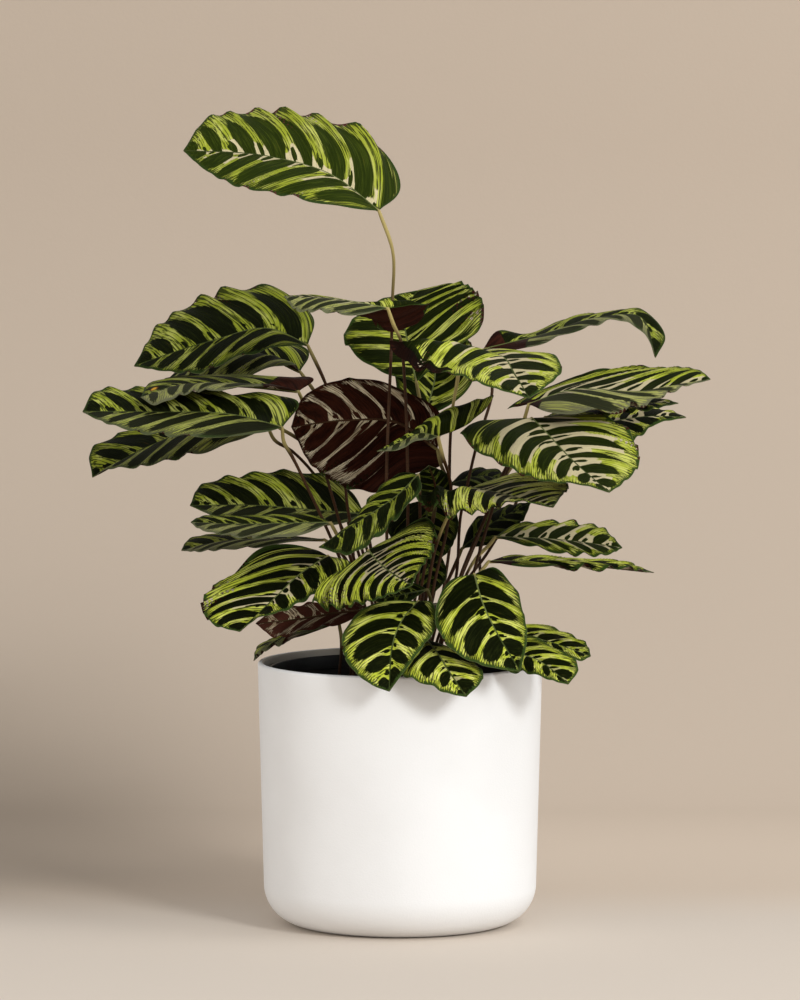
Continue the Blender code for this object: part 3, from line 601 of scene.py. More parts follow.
class Paint:
    """The nodes of one material, around its Principled shader."""

    def __init__(self, name, roughness, specular):
        self.material = bpy.data.materials.new(name)
        self.material.use_nodes = True
        self.tree = self.material.node_tree
        self.shader = self.tree.nodes["Principled BSDF"]
        self.shader.inputs["Roughness"].default_value = roughness
        self.shader.inputs["Specular IOR Level"].default_value = specular

    def feed(self, socket, value):
        if isinstance(value, Term):
            value = value.socket
        if isinstance(value, bpy.types.NodeSocket):
            self.tree.links.new(value, socket)
        elif socket.type == "RGBA":
            socket.default_value = (*value, 1.0)
        else:
            socket.default_value = value

    def node(self, kind, settings, inputs):
        """A node of this kind, with its settings made before its sockets are fed."""
        made = self.tree.nodes.new("ShaderNode" + kind)
        for key, value in settings.items():
            setattr(made, key, value)
        for key, value in inputs.items():
            self.feed(made.inputs[key], value)
        return made

    def math(self, operation, *values):
        return Term(self, self.node("Math", {"operation": operation}, dict(enumerate(values))).outputs[0])

    def step(self, value, low, high):
        """0 at low and 1 at high, with a smooth way between them, and level beyond both."""
        inputs = {"Value": value, "From Min": low, "From Max": high}
        return Term(self, self.node("MapRange", {"interpolation_type": "SMOOTHSTEP"}, inputs).outputs[0])

    def mix(self, share, first, second):
        """The colour that goes from first to second as share goes from 0 to 1."""
        return self.node("Mix", {"data_type": "RGBA"}, {0: share, 6: first, 7: second}).outputs[2]

    def parts(self, vector):
        """The three numbers of a vector."""
        made = self.node("SeparateXYZ", {}, {0: vector})
        return [Term(self, socket) for socket in made.outputs]

    def attribute(self, name):
        """The three numbers that each point carries under this name."""
        return self.parts(self.node("Attribute", {"attribute_name": name}, {}).outputs["Vector"])

    def place(self):
        return self.node("TexCoord", {}, {}).outputs["Object"]

    def vector(self, x, y, z):
        return self.node("CombineXYZ", {}, {0: x, 1: y, 2: z}).outputs[0]

    def noise(self, place, scale, detail=2.0):
        inputs = {"Vector": place, "Scale": scale, "Detail": detail}
        return Term(self, self.node("TexNoise", {}, inputs).outputs[0])

    def finish(self, colour, roughness, height, depth):
        """Feeds the shader its colour, roughness and a bump of this height and depth."""
        bump = self.node("Bump", {}, {"Height": height, "Distance": depth})
        self.feed(self.shader.inputs["Base Color"], colour)
        self.feed(self.shader.inputs["Roughness"], roughness)
        self.feed(self.shader.inputs["Normal"], bump.outputs[0])
        return self.material


def pattern(paint, wider=0.0):
    """The masks of a blade's pattern, from the places that each point carries.

    The turn counts the waves along the margin, led inwards along the veins. Each wave has one large
    oval, from the midrib outwards, and a small one by the midrib between each two. Streaks of noise,
    long along the veins, feather the ovals' ends and the border, and fine dark lines run with them.
    The ovals are this part of a wave wider than the leaf's tone says.
    """
    turn, across, start = paint.attribute("vein")
    from_rib, from_margin, seed = paint.attribute("edge")
    width, length, _ = paint.attribute("form")
    base_dark, lined, _ = paint.attribute("look")
    reach = abs(across)
    turn = turn + paint.math("LESS_THAN", across, 0.0) * (SIDE_TURN / math.tau)
    streak = paint.noise(paint.vector(turn * 5.0, reach * 0.8, seed), 3.0, 3.0) - 0.5
    fine = paint.noise(paint.vector(turn * 16.0, reach * 1.6, seed + 3.0), 3.0) - 0.5
    cloud = paint.noise(paint.vector(turn * 0.9, reach * 1.3, seed + 5.0), 2.4) - 0.5
    oval_turn = turn + OVAL_TURN
    lot = paint.vector(paint.math("FLOOR", oval_turn) * 3.7, across, seed + 9.0)
    lot = paint.noise(lot, 1.0, 0.0) - 0.5

    off = paint.math("FRACT", oval_turn) - 0.5
    wide = (width + wider) * (0.6 + 0.4 * paint.step(reach, 0.0, 0.3)) + lot * 0.16
    last = length + lot * 0.5
    end = paint.math("MAXIMUM", reach - last + OVAL_END, 0.0) / OVAL_END
    large = 1.0 - (abs(off) / wide) ** 2.0 - end * end + (streak + fine) * (0.3 + end * 1.3)
    between = paint.math("FRACT", oval_turn + 0.5) - 0.5
    side = (abs(between + lot * 0.1) / 0.12) ** 2.0
    out = (abs(reach - 0.1) / (0.11 + lot * 0.3)) ** 2.0
    small = 0.75 + lot * 2.5 - side - out + streak * 1.2
    oval = paint.math("MAXIMUM", paint.step(large, -0.04, 0.12), paint.step(small, 0.0, 0.15))
    base = paint.step(base_dark - start + cloud * 0.8 + streak, 0.0, 0.08)
    oval = paint.math("MAXIMUM", oval, base)

    border = paint.step(from_margin + (streak + fine) * 6.0, BORDER_WIDTH + 1.0, BORDER_WIDTH)
    near_margin = paint.step(from_margin, 10.0, 1.5)
    stripe = abs(paint.math("FRACT", turn * 9.0 + streak * 2.5) - 0.5) * 2.0
    strong = 0.12 + lined * 0.3 + 0.34 * near_margin + fine * 1.2
    line = paint.step(stripe, strong + 0.14, strong - 0.14)
    rib = paint.step(from_rib, 0.75, 0.35)
    return oval, border, line, rib, streak + fine * 0.6, cloud, lot


def blade_top():
    """Upper side: lime ground that goes cream in patches, fine dark veins and deep green ovals."""
    paint = Paint("leaf_upper_side", 0.5, 0.03)
    oval, border, line, rib, streak, cloud, lot = pattern(paint)
    deep, bright, cream = paint.attribute("tone")
    haze = paint.attribute("form")[2]
    across = paint.attribute("vein")[1]
    from_margin = paint.attribute("edge")[1]
    reach = abs(across)
    shown = bright / BRIGHTEST
    lime = paint.mix(shown, (0.034, 0.052, 0.005), (0.51, 0.57, 0.05))
    yellow = paint.mix(shown, (0.09, 0.112, 0.02), (0.74, 0.76, 0.176))
    lime = paint.mix(paint.step(cloud * 1.5 - streak, -0.12, 0.3), lime, yellow)
    ground = paint.mix(line * 0.88, lime, (0.012, 0.018, 0.004))
    patch = paint.step(cream * 0.8 + lot * 1.4 + cloud * 0.6 - reach, 0.0, 0.03)
    ground = paint.mix(patch * paint.step(cream, 0.05, 0.15), ground, (0.56, 0.485, 0.29))
    dark = paint.mix(deep, (0.0025, 0.0034, 0.0005), (0.019, 0.031, 0.0016))
    paler = paint.mix(deep, (0.009, 0.0125, 0.0022), (0.052, 0.074, 0.006))
    dark = paint.mix(paint.step(streak, -0.05, 0.22) * 0.8, dark, paler)
    green = paint.mix(bright, (0.006, 0.01, 0.002), (0.034, 0.062, 0.012))
    colour = paint.mix(oval, ground, dark)
    colour = paint.mix(border, colour, green)
    colour = paint.mix(rib, colour, paint.mix(bright, (0.018, 0.024, 0.005), (0.055, 0.075, 0.02)))
    # Painted sheen, a painted reflection: grey-brown over the near half's ground and ovals, as much as
    # the leaf's tone gives
    sheen = paint.mix(oval, (0.27, 0.25, 0.155), (0.05, 0.052, 0.028))
    colour = paint.mix(haze * paint.step(across, 0.25, -0.35), colour, sheen)
    # A pale line along the margin: partly the blade's thin pale edge and partly a painted rim highlight
    colour = paint.mix(paint.step(from_margin, 0.3, 0.1) * 0.6, colour, (0.17, 0.18, 0.08))
    dry = paint.attribute("look")[2]
    amber = paint.mix(paint.step(dry, 0.2, 0.6), (0.1, 0.035, 0.01), (0.62, 0.33, 0.035))
    colour = paint.mix(paint.step(dry + streak * 0.3, 0.05, 0.15), colour, amber)
    height = oval * 0.3 - line * 0.45 - rib * 0.6 + streak * 0.5
    return paint.finish(colour, 0.5 + 0.25 * streak + 0.05 * oval, height, 0.0004)


def blade_under():
    """Underside: maroon, with silvery stripes where the ground shows on the upper side."""
    paint = Paint("leaf_underside", 0.5, 0.03)
    oval, border, line, rib, streak, cloud, _ = pattern(paint, 0.06)
    deep, bright, _ = paint.attribute("tone")
    silver = paint.mix(paint.step(cloud, -0.15, 0.25), (0.6, 0.53, 0.37), (0.34, 0.27, 0.17))
    ground = paint.mix(line * 0.85, silver, (0.04, 0.014, 0.009))
    cloudy = paint.step(cloud + streak, -0.3, 0.3)
    maroon = paint.mix(cloudy, (0.004, 0.0008, 0.0002), (0.034, 0.008, 0.0035))
    maroon = paint.mix(deep * 0.8, maroon, (0.11, 0.04, 0.028))
    colour = paint.mix(paint.math("MAXIMUM", oval, border), ground, maroon)
    colour = paint.mix(rib, colour, (0.02, 0.006, 0.004))
    # Painted shade: on a dim leaf, deep in the plant, the underside goes darker still
    colour = paint.mix(paint.step(bright, 0.35, 0.0) * 0.75, colour, (0.006, 0.003, 0.002))
    height = line * 0.5 + rib * 0.5 + streak * 0.5
    return paint.finish(colour, 0.5 + 0.2 * streak, height, 0.0004)


def petiole_paint():
    """Petiole: maroon-brown with fine length lines, and a yellow-olive swelling below the blade."""
    paint = Paint("petiole", 0.5, 0.1)
    swelling, on_blade, along = paint.attribute("stem")
    deep, bright, _ = paint.attribute("tone")
    grain = paint.noise(paint.vector(along * 3.0, swelling * 2.0, on_blade), 4.0)
    brown = paint.mix(grain, (0.012, 0.0048, 0.002), (0.075, 0.033, 0.013))
    pale = bright + 0.5 * deep
    olive = paint.mix(pale, paint.mix(grain, (0.03, 0.026, 0.006), (0.08, 0.07, 0.02)), (0.4, 0.32, 0.12))
    green = paint.mix(bright, (0.018, 0.024, 0.005), (0.15, 0.18, 0.055))
    colour = paint.mix(swelling, brown, olive)
    colour = paint.mix(on_blade, colour, green)
    return paint.finish(colour, 0.4 + 0.25 * grain, grain, 0.0003)


def glaze():
    """Cachepot: matt white, faintly clouded, with a very fine grain, and painted shade on the inside
    wall.
    """
    paint = Paint("white_matt_glaze", 0.45, 0.4)
    cloud = paint.noise(paint.place(), 14.0, 3.0)
    grain = paint.noise(paint.place(), 900.0)
    colour = paint.mix(paint.step(cloud, 0.35, 0.65), (0.83, 0.83, 0.83), (0.86, 0.862, 0.864))
    x, y, z = paint.parts(paint.place())
    rim, _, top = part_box("cachepot")[1]
    wall = rim * (POT_FOOT_SHARE + (1.0 - POT_FOOT_SHARE) / top * z) - POT_WALL * 0.6
    depth = wall - (x * x + y * y) ** 0.5
    # Painted shade: the pot's inside above its floor is a darker grey-brown
    inside = paint.step(depth, 0.0, 0.001) * paint.step(z, 0.02, 0.03)
    colour = paint.mix(inside, colour, (0.38, 0.34, 0.28))
    return paint.finish(colour, 0.42 + 0.1 * cloud + 0.04 * grain, grain + 3.0 * cloud, 0.00012)


def black_plastic():
    """Nursery pot: black plastic with a faint mould grain and dust of soil."""
    paint = Paint("black_plastic", 0.5, 0.15)
    dust = paint.step(paint.noise(paint.place(), 60.0, 6.0), 0.55, 0.75)
    grain = paint.noise(paint.place(), 1500.0)
    colour = paint.mix(dust, (0.0045, 0.0045, 0.004), (0.014, 0.011, 0.007))
    return paint.finish(colour, 0.38 + 0.3 * dust, grain, 0.0001)


def potting_mix():
    """Soil: nearly black peat with brown fibres and a few pale specks."""
    paint = Paint("potting_mix", 0.9, 0.2)
    lump = paint.noise(paint.place(), 160.0, 8.0)
    fine = paint.noise(paint.place(), 900.0, 4.0)
    colour = paint.mix(paint.step(lump, 0.35, 0.7), (0.006, 0.0045, 0.003), (0.03, 0.019, 0.012))
    colour = paint.mix(paint.step(fine, 0.68, 0.74) * 0.6, colour, (0.1, 0.075, 0.05))
    return paint.finish(colour, 0.85 + 0.1 * fine, lump + 0.5 * fine, 0.0015)


def placed(points):
    """Places in metres, to the nearest millimetre, of points read from the photo.

    Each lies on the camera's ray through its pixel, at its depth behind the pot's axis.
    """
    across, down, depth = np.array([point.split() for point in points.split(",")], float).T
    right = across - PHOTO_CENTRE[0]
    up = PHOTO_CENTRE[1] - down
    tilt = math.atan2(CAMERA_HEIGHT - AIM_HEIGHT, CAMERA_BACK)
    forward = PHOTO_FOCAL * math.cos(tilt) + up * math.sin(tilt)
    rise = up * math.cos(tilt) - PHOTO_FOCAL * math.sin(tilt)
    share = (depth * MM + CAMERA_BACK) / forward
    return np.round(np.stack([share * right, depth * MM, CAMERA_HEIGHT + share * rise], axis=1), 3)


def runs(points):
    """How far along the line through the points each of them lies."""
    steps = np.linalg.norm(np.diff(points, axis=0), axis=1)
    return np.concatenate([[0.0], np.cumsum(steps)])


def along(points, share):
    """Places at each share of the way along a smooth line through the points: cubic between each
    two, with the slope at a point taken from its neighbours on both sides."""
    knots = runs(points) / runs(points)[-1]
    slopes = np.gradient(points, knots, axis=0)
    i = np.clip(np.searchsorted(knots, share, "right") - 1, 0, len(points) - 2)
    span = (knots[i + 1] - knots[i])[:, None]
    t = (share - knots[i])[:, None] / span
    return (
        (2 * t**3 - 3 * t**2 + 1) * points[i]
        + (t**3 - 2 * t**2 + t) * span * slopes[i]
        + (3 * t**2 - 2 * t**3) * points[i + 1]
        + (t**3 - t**2) * span * slopes[i + 1]
    )


def unit(vectors):
    """Vectors of length 1 in the same directions."""
    return vectors / np.maximum(np.linalg.norm(vectors, axis=-1, keepdims=True), 1e-12)


def grid_faces(rows, columns, closed):
    """Corner numbers of the four-sided faces of a grid, with its last column joined to the first
    where it is closed."""
    i, j = np.meshgrid(np.arange(rows - 1), np.arange(columns if closed else columns - 1), indexing="ij")
    k = (j + 1) % columns
    corners = [i * columns + j, i * columns + k, (i + 1) * columns + k, (i + 1) * columns + j]
    return np.stack(corners, axis=-1).reshape(-1, 4)


def added(name, data):
    """An object with this data, in the scene."""
    obj = bpy.data.objects.new(name, data)
    bpy.context.scene.collection.objects.link(obj)
    return obj


def skin(name, points, faces, materials, painted=None, carried=None, atlas=None):
    """A smooth mesh in the scene, sharp only at edges of over 60 degrees.

    painted gives the number of each face's material, carried the attributes of each point by name,
    and atlas the place of each face corner on the sheet that the pattern is baked on.
    """
    mesh = bpy.data.meshes.new(name)
    mesh.from_pydata(points, [], faces)
    if painted is not None:
        mesh.polygons.foreach_set("material_index", painted.astype(np.int32))
    for key, values in (carried or {}).items():
        layer = mesh.attributes.new(key, "FLOAT_VECTOR", "POINT")
        layer.data.foreach_set("vector", np.asarray(values, np.float32).ravel())
    if atlas is not None:
        layer = mesh.uv_layers.new(name="OFBake")
        layer.data.foreach_set("uv", np.asarray(atlas, np.float32).ravel())
    for material in materials:
        mesh.materials.append(material)
    mesh.update(calc_edges=True)
    mesh.validate()
    mesh.shade_smooth()
    mesh.set_sharp_from_angle(angle=math.radians(60))
    return added(name, mesh)


def piece(obj, node=None):
    """Makes the object a finished piece of the plant, which stands for the node where one is named."""
    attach(obj, "root")
    if node:
        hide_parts(node)


def blade_middle(leaf, u, v):
    """Places on the blade's middle surface, its upper direction, half width, wave turn and start.

    As on the solid, the surface between midrib and margin is a straight line plus a bulge, and
    waves lift and drop it more and more towards the margin. Here they run along the veins: the turn
    counts how far along the midrib the vein through a place leaves it, less the phase. A vein parts
    from the midrib at its half's angle and bends to the tip. The start counts the same from the base,
    where the veins fan out: behind it the count runs at half its pace, by a smooth bend of a square
    root. A wave is the exponential of a sine, which makes its crests sharper than its troughs.
    """
    rib = placed(leaf.rib)
    far = np.vstack([rib[:1], placed(leaf.far), rib[-1:]])
    near = np.vstack([rib[:1], placed(leaf.near), rib[-1:]])
    middle = along(rib, u)
    inward = np.clip(u, 0.04, 0.96)
    across = unit(along(far, inward) - along(near, inward))
    forward = unit(along(rib, np.clip(u + 0.02, 0, 1)) - along(rib, np.clip(u - 0.02, 0, 1)))
    upward = unit(np.cross(across, forward))
    if (upward @ SKY).mean() < 0:
        upward = -upward
    side = np.where(v[:, None] > 0, along(far, u) - middle, along(near, u) - middle)
    width = np.linalg.norm(side, axis=1)
    reach = np.abs(v)
    length = runs(rib)[-1]
    ahead = (side * forward).sum(axis=1)
    aside = np.sqrt(np.maximum(width**2 - ahead**2, 0.0))
    bend = 1 - VEIN_CURVE + VEIN_CURVE * reach
    slope = TONES[leaf.tone].slope
    far_share, near_share, far_slope, near_slope = leaf.sides or (1.0, 1.0, slope, slope)
    slope = np.where(v > 0, far_slope, near_slope)
    count, phase = leaf.waves
    start = count * (u + reach * (ahead - slope * aside * bend) / length)
    start = 0.75 * start + 0.25 * np.sqrt(start**2 + FAN**2)
    turn = start + WANDER * np.sin(4.0 * start + 5.0 * phase) + phase / math.tau
    lifted = np.exp(WAVE_CREST * np.sin(math.tau * turn + np.where(v > 0, 0.0, SIDE_TURN))) - WAVE_LIFT
    uneven = 1.0 + WAVE_UNEVEN * np.sin(2.3 * start + 3.0 * phase + v)
    share = np.where(v > 0, far_share, near_share) * uneven
    wave = WAVE_HEIGHT * width * share * reach**1.6 * lifted * np.sin(math.pi * u) ** 0.5
    bulge = BLADE_BULGE * width * 4 * reach * (1 - reach)
    end = BLADE_END * (1 - np.sin(math.pi * u)) * v
    places = middle + side * reach[:, None] + across * end[:, None] + upward * (wave + bulge)[:, None]
    return places, upward, width, turn, start


def blade(leaf, seed):
    """Both sides of a blade as one closed skin.

    Rows run from base to tip, closer together at both ends, and columns from margin to margin,
    closer together at the midrib. The two sides part by the blade's thickness and meet at the edge.
    """
    u = np.linspace(0, 1, BLADE_ROWS)
    u = (1 - END_CROWDING) * u + END_CROWDING * (0.5 - 0.5 * np.cos(math.pi * u))
    v = np.linspace(-1, 1, BLADE_COLUMNS)
    v = np.sign(v) * np.abs(v) ** RIB_CROWDING
    u, v = (a.ravel() for a in np.meshgrid(u, v, indexing="ij"))
    places, upward, width, turn, start = blade_middle(leaf, u, v)
    shape = places.reshape(BLADE_ROWS, BLADE_COLUMNS, 3)
    normal = unit(np.cross(np.gradient(shape, axis=0), np.gradient(shape, axis=1))).reshape(-1, 3)
    normal *= np.sign((normal * upward).sum(axis=1, keepdims=True))
    length = runs(placed(leaf.rib))[-1]
    reach = np.abs(v)
    to_end = np.minimum(u, 1 - u) * length
    from_margin = np.minimum((1 - reach) * width, to_end + END_MARGIN * width) / MM
    edge = (reach > 0.999) | (u < 1e-6) | (u > 1 - 1e-6)
    half = np.where(edge, 0.0, BLADE_THICKNESS / 2)[:, None]
    points = np.vstack([places + normal * half, (places - normal * half)[~edge]])
    under = np.arange(len(u))
    under[~edge] = len(u) + np.arange((~edge).sum())
    spot = DRY_SPOTS.get(leaf.name, NO_SPOT)
    dry = np.clip(1 - np.hypot(u - spot[0], HALF_BLADE * (v - spot[1])) / spot[2], 0, 1)
    tone = TONES[leaf.tone]
    everywhere = np.ones(len(u))
    carried = {
        "vein": np.stack([turn, v, start], axis=1),
        "edge": np.stack([reach * width / MM, from_margin, seed * everywhere], axis=1),
        "tone": np.tile([tone.deep, tone.bright, tone.cream], (len(u), 1)),
        "form": np.tile([tone.width, tone.length, tone.haze], (len(u), 1)),
        "look": np.stack([tone.base_dark * everywhere, tone.lined * everywhere, dry], axis=1),
    }
    carried = {key: np.vstack([value, value[~edge]]) for key, value in carried.items()}
    faces = grid_faces(BLADE_ROWS, BLADE_COLUMNS, False)
    corner = points[faces]
    facing = np.cross(corner[:, 1] - corner[:, 0], corner[:, 3] - corner[:, 0])
    if (facing * normal[faces[:, 0]]).sum() < 0:
        faces = faces[:, ::-1]
    left, foot, wide, high = SHEET_BLADE
    sheet = np.stack([left + wide * (v + 1) / 2, foot + high * u], axis=1)
    other = sheet[faces[:, ::-1]].reshape(-1, 2) + [SHEET_UNDER, 0.0]
    atlas = np.vstack([sheet[faces].reshape(-1, 2), other])
    both = np.vstack([faces, under[faces[:, ::-1]]])
    upper = np.arange(len(both)) < len(faces)
    if leaf.name in TURNED:
        upper = ~upper
    far_end, near_end = ROLLED.get(leaf.name, (0.0, 0.0))
    mid = faces[:, 0]
    rolled = u[mid] < np.where(v[mid] > -1e-6, far_end, near_end)
    hem_start, hem_end = HEMMED.get(leaf.name, (1.0, 1.0))
    hemmed = (v[mid] > 1.0 - HEM_WIDTH) & (u[mid] > hem_start) & (u[mid] < hem_end)
    upper[: len(faces)] ^= rolled | hemmed
    carried["look"][np.unique(faces[rolled | hemmed]), 0] = ALL_DARK
    carried["tone"][np.unique(faces[rolled]), 0] = ROLLED_DEEP
    # Painted shade: the turned-under margin takes the darkest tone, so its underside is nearly black
    # there
    carried["tone"][np.unique(faces[hemmed])] = 0.0
    return points, both, np.where(upper, UPPER_SIDE, UNDERSIDE), carried, atlas


def petiole(leaf, seed):
    """A round tube from the soil up to the blade and on below its midrib to the tip.

    Its radius falls from the sheath to the petiole, swells below the blade and thins to nothing
    along the midrib. Its rings stand square to the line, with one axis kept level.
    """
    x, y = np.array(leaf.foot) * MM
    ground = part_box("soil")[1][2] - COLLAR
    rib = placed(leaf.rib)
    buried = [(x, y, ground - ROOT_DEPTH), (x, y, ground + 2 * COLLAR)]
    rising = np.vstack([buried, placed(leaf.stem)[::-1], rib[:1]])
    below = along(rising, np.linspace(0, 1, STEM_ROWS))
    share = np.linspace(*RIB_SPAN, RIB_ROWS)
    middle, upward, _, _, _ = blade_middle(leaf, share, np.zeros(RIB_ROWS))
    path = np.vstack([below, middle - upward * RIB_DROP])
    run = runs(path)
    neck = run[STEM_ROWS - 1]
    sheath = np.clip(1 - run / SHEATH_LENGTH, 0, 1) ** 1.5
    swell = np.clip(1 - np.abs(run - neck + PULVINUS_LENGTH / 2) / (PULVINUS_LENGTH / 2), 0, 1) ** 0.5
    on_blade = np.clip((run - neck) / (run[-1] - neck), 0, 1)
    radius = STEM_RADIUS + (SHEATH_RADIUS - STEM_RADIUS) * sheath
    radius = radius + (PULVINUS_RADIUS - STEM_RADIUS) * swell
    radius = radius * (1 - on_blade) ** 0.8 + RIB_END_RADIUS * on_blade
    radius[[0, -1]] = 0.0
    forward = unit(np.gradient(path, axis=0))
    heading = rib[-1] - (x, y, 0)
    level = unit(np.array([-heading[1], heading[0], 0.0]))
    first = unit(np.cross(np.broadcast_to(level, forward.shape), forward))
    second = np.cross(forward, first)
    angle = np.arange(STEM_SIDES) * math.tau / STEM_SIDES
    ring = np.cos(angle)[None, :, None] * first[:, None] + np.sin(angle)[None, :, None] * second[:, None]
    points = (path[:, None] + ring * radius[:, None, None]).reshape(-1, 3)
    rows = len(path)
    above = np.zeros((rows, STEM_SIDES))
    above[STEM_ROWS:] = (ring[STEM_ROWS:] * upward[:, None]).sum(axis=2) > 0
    tone = TONES[leaf.tone]
    fade = OLIVE_FADE + OLIVE_RUN * max(tone.deep - 0.5, 0.0)
    pale = OLIVE_LENGTH + OLIVE_MORE * max(tone.bright - 0.5, 0.0)
    past = run - neck
    olive = np.clip((past + pale + fade) / fade, 0, 1) * np.clip(1 - past / OLIVE_STOP, 0, 1)
    joined = np.clip(past / GREEN_START, 0, 1)[:, None] * above
    stem = np.broadcast_arrays(olive[:, None], joined, (run / MM * 0.05 + seed)[:, None])
    carried = {
        "stem": np.stack(stem, axis=-1).reshape(-1, 3),
        "tone": np.tile([tone.deep, tone.bright, tone.cream], (rows * STEM_SIDES, 1)),
    }
    faces = grid_faces(rows, STEM_SIDES, True)
    around = np.linspace(0, 1, STEM_SIDES + 1)
    i, j = np.divmod(np.arange(len(faces)), STEM_SIDES)
    left, foot, wide, high = SHEET_STRIP
    out = left + wide * np.stack([run[i], run[i], run[i + 1], run[i + 1]], axis=1) / run[-1]
    up = foot + high * np.stack([around[j], around[j + 1], around[j + 1], around[j]], axis=1)
    atlas = np.stack([out, up], axis=-1).reshape(-1, 2)
    return points, faces, carried, atlas


def leaf_piece(leaf, seed, materials):
    """One leaf: its blade and its petiole in one mesh, each carrying noughts where it has no values."""
    points, faces, painted, carried, atlas = blade(leaf, seed)
    more, tube, own, strip = petiole(leaf, seed)
    blank = {"stem": np.zeros((len(points), 3))} | {key: np.zeros((len(more), 3)) for key in carried}
    both = {key: np.vstack([(blank | carried)[key], (blank | own)[key]]) for key in blank}
    obj = skin(
        f"leaf_{leaf.name}_fine",
        np.vstack([points, more]),
        np.vstack([faces, tube + len(points)]),
        materials,
        painted=np.concatenate([painted, np.full(len(tube), PETIOLE)]),
        carried=both,
        atlas=np.vstack([atlas, strip]),
    )
    piece(obj, "leaf_" + leaf.name)


def arc(centre, radius, start, end, steps):
    """Points of an arc of a profile, from start to end in degrees."""
    angle = np.radians(np.linspace(start, end, steps + 1))
    return np.stack([centre[0] + radius * np.cos(angle), centre[1] + radius * np.sin(angle)], axis=1)


def turned(profile, sides):
    """A closed skin turned about Z from a profile of (radius, height) that begins and ends on it."""
    angle = np.arange(sides) * math.tau / sides
    radius, height = np.array(profile).T
    x = radius[:, None] * np.cos(angle)
    y = radius[:, None] * np.sin(angle)
    z = np.broadcast_to(height[:, None], x.shape)
    return np.stack([x, y, z], axis=-1).reshape(-1, 3), grid_faces(len(radius), sides, True)


def cachepot():
    """The pot's profile, turned: straight flared wall, rounded lip and a wide arc to the flat foot."""
    rim, _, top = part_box("cachepot")[1]
    foot = rim * POT_FOOT_SHARE
    lip = POT_WALL / 2
    inner = POT_CORNER - POT_WALL
    inside = np.linspace((foot - POT_WALL, POT_CORNER), (rim - POT_WALL, top - lip), 14)[1:-1]
    outside = np.linspace((rim, top - lip), (foot, POT_CORNER), 14)[1:-1]
    profile = np.vstack([
        [(0.0, POT_WALL), (foot * 0.5, POT_WALL)],
        arc((foot - POT_WALL - inner, POT_CORNER), inner, -90, 0, 12),
        inside,
        arc((rim - lip, top - lip), lip, 180, 0, 12),
        outside,
        arc((foot - POT_CORNER, POT_CORNER), POT_CORNER, 0, -90, 20),
        [(foot * 0.5, 0.0), (0.0, 0.0)],
    ])
    points, faces = turned(profile, POT_SIDES)
    piece(skin("cachepot_fine", points, faces[:, ::-1], [glaze()]), "cachepot")


def nursery_pot():
    """The nursery pot's profile, turned: tapered wall, a step out and a rolled rim."""
    low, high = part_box("nursery_pot")
    rim, floor, top = high[0], low[2], high[2]
    foot = rim * NURSERY_FOOT_SHARE
    wall = rim * NURSERY_WALL_SHARE
    lip = NURSERY_WALL / 2
    step = top - NURSERY_RIM_DROP
    profile = np.vstack([
        [(0.0, floor + NURSERY_WALL), (foot - NURSERY_WALL, floor + NURSERY_WALL)],
        [(wall - NURSERY_WALL, step), (rim - NURSERY_WALL, step + NURSERY_WALL)],
        arc((rim - lip, top - lip), lip, 180, 0, 8),
        [(rim, step), (wall, step - NURSERY_WALL), (foot, floor), (0.0, floor)],
    ])
    points, faces = turned(profile, POT_SIDES)
    obj = skin("nursery_pot_fine", points, faces[:, ::-1], [black_plastic()])
    piece(obj, "nursery_pot")


def spun(x, y, turn):
    """The place turned about Z by this angle."""
    return x * np.cos(turn) - y * np.sin(turn), x * np.sin(turn) + y * np.cos(turn)


def mound(radius, edge):
    """The soil's height at this radius, falling with the square of it towards the edge."""
    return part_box("soil")[1][2] - COLLAR / 2 - SOIL_DROP * (radius / edge) ** 2


def rough(x, y):
    """A height of about -1 to 1 over the soil: sines of four sizes, each turned from the last."""
    total = np.zeros_like(x)
    for size, turn in ((0.034, 0.3), (0.017, 1.4), (0.008, 2.3), (0.004, 0.9)):
        a, b = spun(x, y, -turn)
        total += size / 0.05 * np.sin(math.tau * a / size) * np.cos(math.tau * b / size + size * 900)
    return total


def soil(paint):
    """A low mound with an uneven top, closed below by a cone down to the nursery pot's floor."""
    low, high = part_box("soil")
    edge, floor = high[0], low[2]
    radius = np.linspace(0, edge, SOIL_RINGS)
    top = np.stack([radius, mound(radius, edge)], axis=1)
    points, faces = turned([*top, (edge * SOIL_FOOT_SHARE, floor), (0.0, floor)], SOIL_SIDES)
    inner = np.arange(len(points)) < (SOIL_RINGS - 1) * SOIL_SIDES
    points[inner, 2] += SOIL_ROUGHNESS * rough(points[inner, 0], points[inner, 1])
    piece(skin("soil_fine", points, faces, [paint]), "soil")


